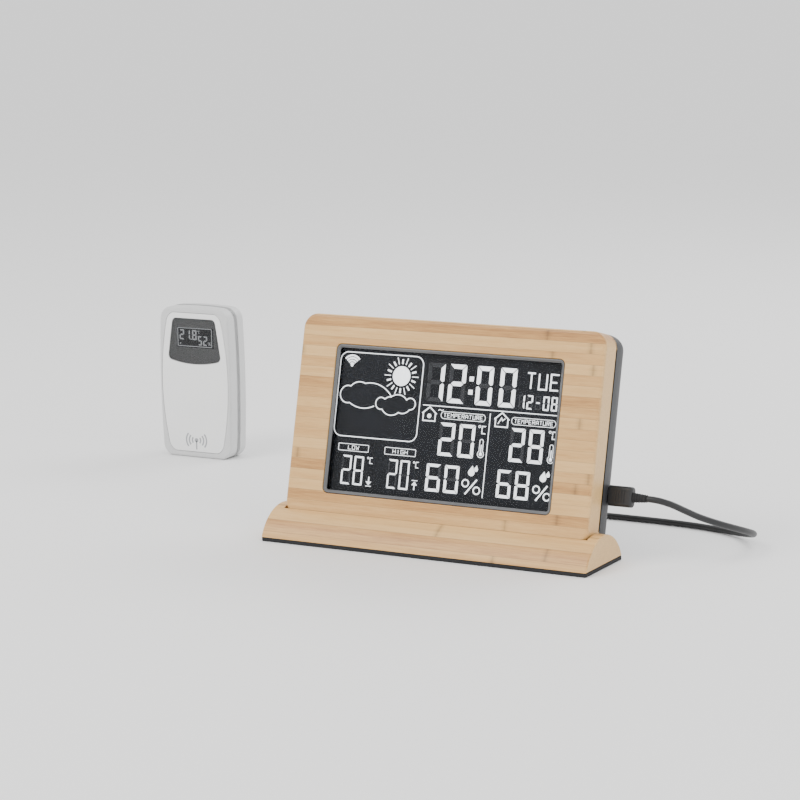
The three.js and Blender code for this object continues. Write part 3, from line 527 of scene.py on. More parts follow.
# ---- where things are ----
def console_place():
    """The console's own frame: front face at y 0, stand's top at z 0."""
    press = next(j for j in frame["joints"] if j["name"] == "button_mode_press")
    lean = math.atan2(press["axis"][2], -press["axis"][1])
    turn = Matrix.Rotation(-lean, 4, "X")
    upright = turn.inverted()
    points = [upright @ v.co for v in frame["nodes"]["console_frame"].data.vertices]
    front = min(point.y for point in points)
    bottom = min(point.z for point in points)
    return turn @ Matrix.Translation((0, front, bottom + SEAT * MM))


def sensor_place():
    low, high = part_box("sensor_front_shell")
    return Matrix.Translation(((low.x + high.x) / 2, low.y, low.z))


CONSOLE = console_place()
SENSOR = sensor_place()
WORLD = Matrix.Identity(4)


def box_in(place, node):
    """A node's lowest and highest corners in a unit's frame, in millimetres."""
    back = place.inverted()
    points = [back @ v.co / MM for v in frame["nodes"][node].data.vertices]
    low = tuple(min(point[i] for point in points) for i in range(3))
    high = tuple(max(point[i] for point in points) for i in range(3))
    return low, high


# ---- console ----
def middle_in(place, node):
    low, high = box_in(place, node)
    return tuple((low[i] + high[i]) / 2 for i in range(3))


def shifted(place, x, y, z):
    """A frame moved by a step in millimetres."""
    return place @ Matrix.Translation(Vector((x, y, z)) * MM)


def aimed(place, centre, axis):
    """A frame at a centre, its Z along an axis."""
    turn = Vector(axis).to_track_quat("Z", "Y").to_matrix().to_4x4()
    return shifted(place, *centre) @ turn


def outline_in(low, high, corner, grow=0.0):
    """An outline centred on X 0 that fills a box, or goes past it by grow."""
    def outline(inset):
        half, bottom, top = high[0] + grow - inset, low[2] - grow + inset, high[2] + grow - inset
        return rounded(half, bottom, top, corner - inset)
    return outline


def console_frame(material):
    low, high = box_in(CONSOLE, "console_frame")
    pane_low, pane_high = box_in(CONSOLE, "display_window")
    front_wall, side_wall, top_wall = 4.3, 12, 8.3
    half = high[0] - side_wall
    cavity = box_at((-half, low[2] + side_wall), (half, high[2] - top_wall), 5, ROUND)
    profile = edge_profile(0, high[1], (2.2, 2.2), (0.4, 0.4), 8)
    body = plate("frame", outline_in(low, high, CASE_CORNER), profile, CONSOLE)
    cut(
        body,
        hole(outline_in(pane_low, pane_high, 3.5, GAP), front_wall + 1, 0, 0.55, CONSOLE),
        hole(cavity, front_wall, high[1], 0.3, CONSOLE),
    )
    done(body, material, "station", "bamboo", "console_frame")


def window_trim(material):
    low, high = box_in(CONSOLE, "window_trim")
    front, rear = low[1], high[1]
    width = 1.9
    section = [
        (0.0, front + 0.35), (0.12, front + 0.1), (0.4, front), (0.85, front),
        (1.25, front + 0.3), (1.6, front + 0.75), (width, front + 0.95), (width, rear), (0.0, rear),
    ]
    ring = plate("trim", outline_in(low, high, 3.2), section, CONSOLE, closed=True)
    done(ring, material, "station", "case_black", "window_trim")


def display_window(material):
    low, high = box_in(CONSOLE, "display_window")
    profile = edge_profile(low[1], high[1], (0.3, 0.3), (0.15, 0.15), 3)
    pane = plate("window", outline_in(low, high, 3.2), profile, CONSOLE)
    done(pane, material, "station", "window", "display_window")


BUTTON_PLACES = (-56, -28, 0, 28, 56)
BUTTON_NAMES = ("button_mode", "button_up", "button_down", "button_alarm", "button_light")
BUTTON_Z = 96.7
VENT_ROWS = 6
VENT_PITCH = 4.4


def door_recess(low, high):
    """The outline of the shallow seat round a battery door."""
    room = 0.4
    return box_at((low[0] - room, low[2] - room), (high[0] + room, high[2] + room), 0.5)


def rear_cover(material):
    low, high = box_in(CONSOLE, "rear_cover")
    door_low, door_high = box_in(CONSOLE, "battery_door")
    seam, rear = low[1], high[1]
    wall, side_wall, rim = 2.2, 3.0, 4.7
    inner = rear - wall
    profile = [(0.3, seam)] + edge_profile(seam + 0.3, rear, (0, 0), (2, rear - (seam + rim)), 12)
    body = plate("back_cover", outline_in(low, high, CASE_CORNER), profile, CONSOLE)
    hollow = outline_in(low, high, 6, -side_wall)
    cut(body, plate("cutter", hollow, [(0, seam - 1), (0, inner)], CONSOLE))
    bay_rear = door_low[1] - GAP
    bay_floor = bay_rear - BAY_DEPTH
    tray = block(
        (door_low[0] - 2, bay_floor - 1.2, door_low[2] - 2),
        (door_high[0] + 2, inner + 0.5, door_high[2] + 2),
        CONSOLE,
    )
    spots = case_screw_places()
    post = [(0, seam), (0, inner + 0.5)]
    join(body, tray, *[plate("cutter", circle_at(x, z, 4.2), post, CONSOLE) for x, z in spots])
    bay_half, bay_reach = door_high[0] - 3.5, 3
    bay = block(
        (-bay_half, bay_floor, door_low[2] + bay_reach),
        (bay_half, rear + 1, door_high[2] - bay_reach),
        CONSOLE,
    )
    tools = [bay, hole(door_recess(door_low, door_high), bay_rear, rear, 0.3, CONSOLE)]
    tools += [hole(pill_at(x, BUTTON_Z, 6.35, 3.95), rear - 4, rear, 0.35, CONSOLE) for x in BUTTON_PLACES]
    for x in (-62, 62):
        for row in range(VENT_ROWS):
            slit = pill_at(x, 44.9 + row * VENT_PITCH, 11, 0.9, 5)
            tools.append(hole(slit, rear - 4, rear, 0.3, CONSOLE))
    tools += [hole(circle_at(x, z, 3.0), rear - 3.0, rear, 0.35, CONSOLE) for x, z in spots]
    plug_y, plug_z = rear - 3.8, 26.6
    tools.append(block(
        (high[0] - 5, plug_y - 1.5, plug_z - 4.4),
        (high[0] + 1, plug_y + 1.5, plug_z + 4.4),
        CONSOLE,
    ))
    cut(body, *tools)
    done(body, material, "station", "case_black", "rear_cover", angle=30)


def case_screw_places():
    centres = [middle_in(CONSOLE, f"case_screw_{number}") for number in (1, 2, 3, 4)]
    return [(x, z) for x, _, z in centres]


def console_buttons(material):
    for name, x in zip(BUTTON_NAMES, BUTTON_PLACES):
        low, high = box_in(CONSOLE, name)
        top, flange = high[1], low[1] + 1.1
        profile = [(-1.3, low[1]), (-1.3, flange), (0, flange)]
        profile += edge_profile(flange, top, (0, 0), (0.7, 0.7), 6)[1:]
        # The cap is dished a little for a fingertip.
        profile += [(1.1, top - 0.05), (1.7, top - 0.16), (2.4, top - 0.24)]
        cap = plate(name.replace("button", "cap"), pill_at(x, BUTTON_Z, 6, 3.6), profile, CONSOLE)
        done(cap, material, name, "case_black", name)


def hinged_door(name, node, place, slot, material):
    """A leaf with a half-round lower edge, and a grip pocket with ribs near its top."""
    low, high = box_in(place, node)
    _, middle_y, middle_z = middle_in(place, node)
    radius, edge = (high[1] - low[1]) / 2, 0.4
    section = arc(low[1] + radius, low[2] + radius, radius, 180, 180, 12)
    section += arc(high[1] - edge, high[2] - edge, edge, 0, 90, 4)
    section.append((low[1], high[2]))
    ends = ((low[0], 0.35), (low[0] + 0.12, 0.1), (low[0] + 0.35, 0.0))
    ends += tuple((-x, inset) for x, inset in reversed(ends))

    def pulled(y, z, pull):
        return y + (pull if y < middle_y else -pull), z + (pull if z < middle_z else -pull)
    leaf = loft(name, [[(x, *pulled(y, z, inset * 0.9)) for y, z in section] for x, inset in ends], place)
    grooves = [pill_at(0, high[2] - 4.6 + rib * 1.15, 7, 0.42, 4) for rib in range(4)]
    cut(leaf, *[hole(groove, high[1] - 0.75, high[1], 0.12, place) for groove in grooves])
    done(leaf, material, node, slot, node)


def screw(node, place, centre, radius, outer, inner, axis, material):
    """A pan head with a cross recess and its shank. It looks out along axis."""
    at = aimed(place, centre, axis)
    under_head = outer - (1.9 if radius > 2.4 else 1.4)
    shank = radius * 0.42
    thread = inner + 1.2
    profile = [(shank * 0.3, inner), (shank, thread)]
    while thread + 0.8 < under_head:
        profile += [(shank * 0.82, thread + 0.35), (shank, thread + 0.7)]
        thread += 0.7
    profile += [(shank, under_head), (radius, under_head)]
    profile += [(radius - 0.8 * over, outer - 0.6 * down) for over, down in quarter(6)]
    body = turned(f"screw_{node}", profile, at, 32)
    arm, half_width = radius * 0.58, radius * 0.13
    corners = ((-1, -1), (1, -1), (1, 1), (-1, 1))
    slots = []
    for degrees in (0, 90):
        spin = at @ Matrix.Rotation(math.radians(degrees), 4, "Z")
        slots.append(loft("cutter", [
            [(x * arm * share, y * half_width, z) for x, y in corners]
            for z, share in ((outer - 1.1, 0.55), (outer + 1, 1.15))
        ], spin))
    cut(body, *slots)
    done(body, material, "station", "steel", node)


def rear_screws(place, nodes, radius, material):
    for node in nodes:
        low, high = box_in(place, node)
        x, _, z = middle_in(place, node)
        screw(node, place, (x, 0, z), radius, high[1], low[1], (0, 1, 0), material)


def console_screws(material):
    rear_screws(CONSOLE, [f"case_screw_{number}" for number in (1, 2, 3, 4)], 2.7, material)
    for side in ("left", "right"):
        node = f"stand_screw_{side}"
        low, high = box_in(CONSOLE, node)
        x, y, _ = middle_in(CONSOLE, node)
        screw(node, CONSOLE, (x, y, 0), 3.2, -low[2], -high[2], (0, 0, -1), material)


# ---- batteries ----
def cell(name, node, place, centre, axis, material):
    """An AAA cell along axis, its own frame at its foot."""
    radius, length, nub, ease = 5.25, 44.5, 1.2, 0.6
    shoulder, foil = length - nub, radius - 0.06
    profile = [(3.6, 0), (radius - 0.7, 0.05)]
    profile += [(radius - ease * down, ease * over) for over, down in quarter(4)]
    profile += [(radius, 1.4), (foil, 1.5), (foil, shoulder - 1.5), (radius, shoulder - 1.4)]
    profile += [(radius - ease * over, shoulder - ease * down) for over, down in quarter(4)]
    profile += [(3.4, shoulder), (3.2, shoulder - 0.25), (2.1, shoulder - 0.25), (1.9, shoulder)]
    profile += [(1.9, length - 0.3), (1.6, length)]
    body = turned(name, profile, aimed(place, centre, axis), 44)
    done(body, material, "station", "cell_jacket", node)


def console_cells(material):
    for number in (1, 2, 3):
        node = f"battery_cell_{number}"
        low, high = box_in(CONSOLE, node)
        _, y, z = middle_in(CONSOLE, node)
        way = 1 if number % 2 == 1 else -1
        foot = low[0] if way > 0 else high[0]
        cell(f"aaa_{number}", node, CONSOLE, (foot, y, z), (way, 0, 0), material)


def sensor_cells(material):
    back = SENSOR.inverted()
    for number in (1, 2):
        node = f"sensor_cell_{number}"
        low, high = box_in(SENSOR, node)
        x, y, _ = middle_in(SENSOR, node)
        # The end that carries the small nub is the node's narrow end.
        points = [back @ v.co / MM for v in frame["nodes"][node].data.vertices]
        reach = max((abs(p.x - x) for p in points if p.z > high[2] - 0.1), default=0)
        way = 1 if reach < 3 else -1
        foot = low[2] if way > 0 else high[2]
        cell(f"sensor_aaa_{number}", node, SENSOR, (x, y, foot), (0, 0, way), material)


# ---- stand ----
def stand_base(material):
    low, high = box_in(WORLD, "stand_base")
    half_depth, rise = high[1], high[2] - low[2]
    radius = (half_depth ** 2 + rise ** 2) / (2 * rise)
    steps, edge = 72, 0.9

    def section(inset):
        foot = low[2] + inset * 0.3
        points = [(-half_depth + inset * 1.6, foot)]
        for i in range(1, steps):
            y = -half_depth + 2 * half_depth * i / steps
            z = high[2] - radius + math.sqrt(radius ** 2 - y ** 2)
            points.append((y * (1 - inset / radius), max(foot, z - inset)))
        points.append((half_depth - inset * 1.6, foot))
        return points
    ends = [(low[0] + edge * over, edge * down) for over, down in quarter(6)]
    ends += [(-x, inset) for x, inset in reversed(ends)]
    bar = loft("stand", [[(x, y, z) for y, z in section(inset)] for x, inset in ends], WORLD)
    body_low, body_high = box_in(CONSOLE, "console_frame")
    _, cover_high = box_in(CONSOLE, "rear_cover")
    tools = [block(
        (body_low[0] - GAP, -GAP, body_low[2] - GAP),
        (body_high[0] + GAP, cover_high[1] + GAP, body_high[2]),
        CONSOLE,
    )]
    for side in ("left", "right"):
        node = f"stand_screw_{side}"
        x, y, _ = middle_in(CONSOLE, node)
        at = shifted(CONSOLE, x, y, 0)
        head = box_in(CONSOLE, node)[0][2] + 2.3
        tools.append(turned("cutter", [(1.8, -40), (1.8, 0.5)], at, 24))
        tools.append(turned("cutter", [(3.5, -40), (3.5, head)], at, 24))
    cut(bar, *tools)
    done(bar, material, "station", "bamboo", "stand_base", angle=40)


def stand_pad(material):
    """Made in a turned frame, where Y is the world's Z, and Z is the world's -Y."""
    low, high = box_in(WORLD, "stand_pad")
    flat = Matrix.Rotation(math.radians(90), 4, "X")
    pad = plate(
        "pad",
        lambda inset: rounded(high[0] - inset, low[1] + inset, high[1] - inset, 1.5 - inset * 0.5),
        edge_profile(low[2], high[2], (0.4, 0.4), (0.25, 0.25), 4),
        flat,
    )
    down = (CONSOLE.to_3x3() @ Vector((0, 0, -1))).normalized()
    tools = []
    for side in ("left", "right"):
        x, y, _ = middle_in(CONSOLE, f"stand_screw_{side}")
        head = CONSOLE @ (Vector((x, y, 0)) * MM)
        spot = (head + down * (head.z / -down.z)) / MM
        tools.append(hole(circle_at(spot.x, -spot.y, 4.8), high[2] + 1, low[2], 0.3, flat))
    # Shallow grip grooves under the pad.
    for i in range(-4, 5):
        tools.append(hole(pill_at(0, i * 4.6, 44, 0.5, 4), low[2] + 0.35, low[2], 0.1, flat))
    cut(pad, *tools)
    done(pad, material, "station", "pad_rubber", "stand_pad")


# ---- power lead ----
LEAD_ROUTE = (
    (123.9, 22.218, 37.618), (127.5, 22.3, 37.5), (131, 22.6, 37.1), (137.5, 24.2, 35.3), (144.5, 27.6, 31.7),
    (151, 32.8, 27.6), (157, 40, 23.8), (162, 49, 20), (165.3, 59, 16.4), (166.8, 69.5, 12.9), (166, 80, 9.6),
    (162.6, 89.5, 6.7), (156, 98, 4.3), (147, 105, 2.7), (135, 110.5, 2.05), (120, 114.6, 1.95),
    (102, 117, 1.95), (82, 118, 1.95), (60, 118.2, 1.95), (40, 117.8, 1.95), (20, 117.8, 1.95),
    (8, 117.8, 2.1), (-5.4, 117.8, 2.55),
)
TAIL_ROUTE = (
    (-27.5, 117.9, 6.8), (-34.6, 117.8, 5.0), (-44, 117.4, 3.2), (-54, 115.6, 2.2), (-64, 112.2, 1.95),
    (-74, 108.4, 2.2), (-84, 106.2, 3.2), (-93, 105.8, 4.1),
)
COIL_TURNS = 5
COLUMNS = (25.8, 22.0, 18.2)
ROWS = (3.1, 6.9)


def eased(share):
    """A step from 0 to 1 that starts and ends gently."""
    share = min(1.0, max(0.0, share))
    return share * share * (3 - 2 * share)


def coil_point(turns):
    """The lower row winds inwards, the cord climbs, and the upper row winds outwards."""
    order = [(column, ROWS[0]) for column in COLUMNS] + [(column, ROWS[1]) for column in reversed(COLUMNS)]
    turn = min(int(turns), COIL_TURNS - 1)
    crossing = eased((turns - turn - 0.74) / 0.26)
    (radius, height), (next_radius, next_height) = order[turn], order[turn + 1]
    size = radius + (next_radius - radius) * crossing
    z = height + (next_height - height) * crossing
    if height != next_height:
        size -= 1.5 * math.sin(math.pi * crossing)   # it steps inside while it climbs
    angle = math.pi / 2 + 2 * math.pi * turns
    return COIL_CENTRE[0] + size * math.cos(angle), COIL_CENTRE[1] + size * math.sin(angle), z


def blend(first, second, start, end, at):
    return first * ((end - at) / (end - start)) + second * ((at - start) / (end - start))


def smooth_path(points, step):
    """A centripetal Catmull-Rom curve through the points, sampled about every step."""
    knots = [Vector(point) for point in points]
    knots = [2 * knots[0] - knots[1]] + knots + [2 * knots[-1] - knots[-2]]
    path = []
    for i in range(1, len(knots) - 2):
        four = knots[i - 1:i + 3]
        times = [0.0]
        for here, there in zip(four, four[1:]):
            times.append(times[-1] + (there - here).length ** 0.5)
        count = max(1, round((four[2] - four[1]).length / step))
        for k in range(count):
            at = times[1] + (times[2] - times[1]) * k / count
            three = [blend(four[n], four[n + 1], times[n], times[n + 1], at) for n in range(3)]
            two = [blend(three[n], three[n + 1], times[n], times[n + 2], at) for n in range(2)]
            path.append(blend(*two, times[1], times[2], at))
    path.append(knots[-2])
    return path


def power_cord(material):
    coil = [coil_point(i / 24) for i in range(COIL_TURNS * 24 + 1)]
    path = smooth_path(list(LEAD_ROUTE) + coil + list(TAIL_ROUTE), 3.0)
    curve = bpy.data.curves.new("usb_cord", "CURVE")
    curve.dimensions = "3D"
    curve.bevel_depth = CORD_RADIUS * MM
    curve.bevel_resolution = 5
    curve.use_fill_caps = True
    spline = curve.splines.new("POLY")
    spline.points.add(len(path) - 1)
    for point, place in zip(spline.points, path):
        point.co = (*(place * MM), 1)
    spline.use_smooth = True
    cord = bpy.data.objects.new("usb_cord", curve)
    bpy.context.scene.collection.objects.link(cord)
    done(cord, material, "lead", "lead_black", "lead_cord", "lead_coil", "lead_tail")


def coil_tie(material):
    """A band wrapped round the turns, its section in Y and Z."""
    low, high = box_in(WORLD, "coil_tie")
    half, ease = (high[1] - low[1]) / 2, 0.12
    # In the turned frame X is the world's Y, and Y is the world's -X.
    turn = shifted(WORLD, 0, (low[1] + high[1]) / 2, 0) @ Matrix.Rotation(math.radians(90), 4, "Z")

    def outline(inset):
        return rounded(half - inset, low[2] + inset, high[2] - inset, 2.3 - inset, 8)
    outside = [(ease, -high[0]), (0, -high[0] + 0.3), (0, -low[0] - 0.3), (ease, -low[0])]
    section = outside + [(TIE - inset, y) for inset, y in reversed(outside)]
    tie = plate("tie", outline, section, turn, closed=True)
    done(tie, material, "lead", "lead_black", "coil_tie", angle=50)


def taper_x(name, stations, corner, place, steps=5):
    """A rounded block along X through stations (x, half depth, half height)."""
    rings = []
    for x, half_depth, half_height in stations:
        radius = min(corner, half_depth * 0.98, half_height * 0.98)
        shape = rounded(half_depth, -half_height, half_height, radius, steps)
        rings.append([(x, y, z) for y, z in shape])
    return loft(name, rings, place)


def strain_relief(place, material):
    """Tapers from the plug to the cord, with a groove after every second step."""
    low, high = box_in(CONSOLE, "strain_relief")
    steps, small = 20, 2.3
    stations = []
    for i in range(steps + 1):
        share = i / steps
        groove = 0.42 if i % 4 in (2, 3) else 0.0
        sizes = [big + (small - big) * share - groove for big in (2.8, 2.9)]
        stations.append((low[0] + (high[0] - low[0]) * share, *sizes))
    relief = taper_x("relief", stations, 2.2, place, 6)
    done(relief, material, "lead", "lead_black", "strain_relief", angle=50)


def plug_shell(place, material):
    low, high = box_in(CONSOLE, "plug_shell")
    depth, height = (high[1] - low[1]) / 2, (high[2] - low[2]) / 2
    start, wall = low[0], 0.25
    outside = [(start, depth - 0.15, height - 0.15), (start + 0.3, depth, height), (high[0], depth, height)]
    inside = [(x, depth - wall, height - 0.3) for x in (start - 1, start + 4.5)]
    metal = taper_x("plug_tongue", outside, 0.88, place, 6)
    cut(metal, taper_x("cutter", inside, 0.62, place, 6))
    done(metal, material, "lead", "steel", "plug_shell")


def power_plug(shell_material, grip_material, steel):
    low, high = box_in(CONSOLE, "plug_overmould")
    _, y, z = middle_in(CONSOLE, "plug_overmould")
    place = shifted(CONSOLE, 0, y, z)
    half_depth, half_height = (high[1] - low[1]) / 2, (high[2] - low[2]) / 2
    start, end = low[0], high[0]
    stations = [(x, half_depth - inset, half_height - inset) for x, inset in (
        (start, 0.7), (start + 0.15, 0.35), (start + 0.6, 0.0),
        (end - 1.6, 0.0), (end - 0.7, 0.25), (end - 0.2, 0.7), (end, 1.2),
    )]
    body = taper_x("plug", stations, 1.9, place, 8)
    tools = []
    for side in (-1, 1):
        y = side * (half_depth + 0.35)
        for i in range(4):
            x = start + 5.2 + i * 1.7
            tools.append(block((x, y - 0.6, -3.6), (x + 0.8, y + 0.6, 3.6), place))
    cut(body, *tools)
    done(body, shell_material, "lead", "lead_black", "plug_overmould")
    strain_relief(place, grip_material)
    plug_shell(place, steel)


def far_plug(shell_material, steel, inner):
    low, high = box_in(WORLD, "usb_a_body")
    _, y, z = middle_in(WORLD, "usb_a_body")
    place = shifted(WORLD, 0, y, z)
    front, rear = low[0], high[0]
    stations = [
        (front, 7.2, 3.4), (front + 0.25, 7.7, 3.8), (front + 0.9, 8, 4), (front + 19, 8, 4),
        (front + 21.5, 7.5, 3.85), (front + 24, 6.2, 3.4), (front + 26.5, 4.7, 3.1), (front + 29, 4.1, 2.9),
        (rear - 0.4, 3.8, 2.8), (rear, 3.4, 2.5),
    ]
    body = taper_x("usb_a_grip", stations, 2.4, place, 8)
    tools = []
    for side in (-1, 1):
        for i in range(5):
            x, z = front + 7 + i * 2.1, side * 4.25
            tools.append(block((x, -4.6, z - 0.6), (x + 0.9, 4.6, z + 0.6), place))
    cut(body, *tools)
    done(body, shell_material, "lead", "lead_black", "usb_a_body")

    out, root = (box_in(WORLD, "usb_a_shell")[i][0] for i in (0, 1))
    mouth = out + 11
    shell = taper_x("usb_a_metal", [(out, 5.85, 2.1), (out + 0.3, 6, 2.2), (root, 6, 2.2)], 0.7, place)
    tools = [taper_x("cutter", [(out - 1, 5.65, 1.85), (mouth, 5.65, 1.85)], 0.4, place, 4)]
    for z in (-2.2, 2.2):
        for y in (-2.6, 2.6):
            tools.append(block((out + 4.6, y - 1.1, z - 0.7), (out + 6.8, y + 1.1, z + 0.7), place))
    cut(shell, *tools)
    done(shell, steel, "lead", "steel", "usb_a_shell")
    tongue_place = place @ Matrix.Translation((0, 0, 0.8 * MM))
    stations = [(out + 0.5, 5.4, 0.7), (out + 0.8, 5.5, 0.85), (mouth, 5.5, 0.85)]
    done(taper_x("usb_a_inner", stations, 0.3, tongue_place, 3), inner, "lead", "lead_black")


# ---- remote sensor ----
def sensor_outline(inset):
    """A rounded block whose sides bow out and whose top is arched."""
    half, height, corner, arch, bulge = 29, 106, 8, 1.4, 0.06
    middle = height / 2
    shape = rounded(half - inset, inset, height - arch - inset, max(corner - inset, 2), side_steps=10)
    points = []
    for x, z in shape:
        up = (z - middle) / middle
        rise = arch * (1 - (x / half) ** 2) * up if up > 0 else 0
        points.append((x * (1 - bulge * up ** 2), z + rise))
    return points


def face_outline(inset):
    """Barrel-shaped: widest half-way up."""
    bottom, top, half, end_half = 4, 101.5, 27, 21
    middle, reach = (bottom + top) / 2, (top - bottom) / 2
    points = []
    for x, z in rounded(half - inset, bottom + inset, top - inset, 6 - inset, side_steps=14):
        up = (z - middle) / reach
        points.append((x * (1 - (1 - end_half / half) * up ** 2), z))
    return points


def lens_outline(inset):
    """Narrower at its top, with a sagging lower edge."""
    bottom, top, half, sag = 69, 97.5, 21.5, 3
    points = []
    for x, z in rounded(half - inset, bottom + inset, top - inset, 3 - inset, side_steps=10):
        up = (z - bottom) / (top - bottom)
        points.append((x * (1 - 0.2 * up), z - sag * (1 - (x / half) ** 2) * (1 - up)))
    return points


SCREW_SPOTS = ((-19.6, 92), (19.6, 92))


def sensor_front(material):
    seam = box_in(SENSOR, "sensor_front_shell")[1][1]
    profile = edge_profile(0, seam, (1.6, 1.6), (0.25, 0.25), 8)
    body = plate("sensor_front", sensor_outline, profile, SENSOR)
    cut(body, plate("cutter", lambda inset: sensor_outline(2), [(0, 2.6), (0, seam + 1)], SENSOR))
    post = [(0, 2.1), (0, seam)]
    join(body, *[plate("cutter", circle_at(x, z, 2.6), post, SENSOR) for x, z in SCREW_SPOTS])
    cut(
        body,
        hole(lambda inset: face_outline(inset - GAP), 1.2, 0, 0.25, SENSOR),
        block((-15.5, 0, 77), (15.5, 3.6, 91.4), SENSOR),
    )
    done(body, material, "station", "sensor_white", "sensor_front_shell")


def sensor_face(material):
    rear = box_in(SENSOR, "sensor_faceplate")[1][1]
    face = plate("sensor_face", face_outline, edge_profile(0, rear, (0.35, 0.35), (0, 0), 5), SENSOR)
    cut(face, hole(lambda inset: lens_outline(inset - GAP), 2, 0, 0.2, SENSOR))
    done(face, material, "station", "sensor_white", "sensor_faceplate")


def sensor_lens(material):
    rear = box_in(SENSOR, "sensor_lens")[1][1]
    lens = plate("sensor_glass", lens_outline, edge_profile(0, rear, (0.3, 0.3), (0, 0), 5), SENSOR)
    done(lens, material, "station", "sensor_lens", "sensor_lens")


def sensor_back(material):
    low, high = box_in(SENSOR, "sensor_rear_shell")
    door_low, door_high = box_in(SENSOR, "sensor_battery_door")
    seam, rear = low[1], high[1]
    inner = rear - 2
    profile = [(0.2, seam), (0, seam + 0.2)] + edge_profile(seam, rear, (0, 0), (4, 4), 12)[1:]
    body = plate("sensor_back", sensor_outline, profile, SENSOR)
    cut(body, plate("cutter", lambda inset: sensor_outline(2.8), [(0, seam - 1), (0, inner)], SENSOR))
    bay_rear = door_low[1] - GAP
    bay_floor = bay_rear - BAY_DEPTH
    tray = block(
        (door_low[0] - 1.5, bay_floor - 1, door_low[2] - 2),
        (door_high[0] + 1.5, inner + 0.5, door_high[2] + 1.5),
        SENSOR,
    )
    post = [(0, seam), (0, inner + 0.5)]
    join(body, tray, *[plate("cutter", circle_at(x, z, 3.4), post, SENSOR) for x, z in SCREW_SPOTS])
    bay = block(
        (door_low[0] + 4, bay_floor, door_low[2] + 3),
        (door_high[0] - 4, rear + 1, door_high[2] - 3),
        SENSOR,
    )
    x, _, z = middle_in(SENSOR, "sensor_channel_switch")
    switch_slot = block((x - 3.8, bay_floor - 2, z - 1.8), (x + 3.8, bay_floor + 1, z + 1.8), SENSOR)
    x, _, z = middle_in(SENSOR, "sensor_reset_button")
    reset_hole = plate("cutter", circle_at(x, z, 2), [(0, bay_floor - 2), (0, bay_floor + 1)], SENSOR)
    # The keyhole: a round opening for a screw's head, and a slot above it for its shank.
    key_z, key_top, slot_radius = 91, 97, 1.8
    key_slot = box_at((-slot_radius, key_z), (slot_radius, key_top), slot_radius - 0.01, 6)
    cut(
        body,
        bay,
        hole(door_recess(door_low, door_high), bay_rear, rear, 0.3, SENSOR),
        switch_slot,
        reset_hole,
        hole(circle_at(0, key_z, 3.6), inner - 1, rear, 0.35, SENSOR),
        hole(key_slot, inner - 1, rear, 0.2, SENSOR),
        *[hole(circle_at(x, z, 2.6), rear - 2.2, rear, 0.3, SENSOR) for x, z in SCREW_SPOTS],
    )
    done(body, material, "station", "sensor_white", "sensor_rear_shell", angle=30)


def sensor_details(dark, steel):
    rear_screws(SENSOR, ("sensor_screw_1", "sensor_screw_2"), 2.2, steel)

    node = "sensor_channel_switch"
    low, high = box_in(SENSOR, node)
    x, _, z = middle_in(SENSOR, node)
    top, knob_half = high[1], 1.4
    slider = plate("switch_slider", box_at((low[0], low[2]), (high[0], high[2]), 0.4),
                   edge_profile(low[1], low[1] + 1.6, (0, 0), (0.2, 0.2), 3), SENSOR)
    knob = box_at((x - knob_half, z - knob_half), (x + knob_half, z + knob_half), 0.3)
    join(slider, plate("cutter", knob, edge_profile(low[1] + 0.5, top, (0, 0), (0.35, 0.35), 4), SENSOR))
    ridges = [z - 0.9 + i * 0.75 for i in range(3)]
    cut(slider, *[
        block((x - 2, top - 0.35, ridge), (x + 2, top + 1, ridge + 0.3), SENSOR) for ridge in ridges
    ])
    done(slider, dark, node, "switch_black", node)

    node = "sensor_reset_button"
    low, high = box_in(SENSOR, node)
    x, _, z = middle_in(SENSOR, node)
    shelf, ledge = low[1] + 1.0, 1.3
    profile = [(0, low[1]), (0, shelf), (ledge, shelf)]
    profile += [(ledge + inset, y) for inset, y in edge_profile(shelf, high[1], (0, 0), (0.4, 0.4), 4)[1:]]
    profile.append((2.1, high[1] - 0.15))
    done(plate("reset_stem", circle_at(x, z, 2.8), profile, SENSOR), dark, node, "switch_black", node)


# ---- segments and icons ----
DIGITS = {
    "0": "abcdef", "1": "bc", "2": "abged", "5": "afgcd", "6": "afgedc", "8": "abcdefg",
    "C": "afed", "-": "g",
}
# Letters as strokes on a grid 2 wide and 4 high.
LETTERS = {
    "T": (((0, 4), (2, 4)), ((1, 4), (1, 0))),
    "E": (((2, 4), (0, 4), (0, 0), (2, 0)), ((0, 2), (1.6, 2))),
    "M": (((0, 0), (0, 4), (1, 2.2), (2, 4), (2, 0)),),
    "P": (((0, 0), (0, 4), (2, 4), (2, 2), (0, 2)),),
    "R": (((0, 0), (0, 4), (2, 4), (2, 2), (0, 2)), ((0.9, 2), (2, 0))),
    "A": (((0, 0), (0, 3), (1, 4), (2, 3), (2, 0)), ((0, 1.6), (2, 1.6))),
    "U": (((0, 4), (0, 0), (2, 0), (2, 4)),),
    "L": (((0, 4), (0, 0), (2, 0)),),
    "O": (((0, 0), (0, 4), (2, 4), (2, 0), (0, 0.01)),),
    "W": (((0, 4), (0.4, 0), (1, 2.4), (1.6, 0), (2, 4)),),
    "H": (((0, 0), (0, 4)), ((2, 0), (2, 4)), ((0, 2), (2, 2))),
    "I": (((1, 0), (1, 4)),),
    "G": (((2, 4), (0, 4), (0, 0), (2, 0), (2, 2), (1.1, 2)),),
}


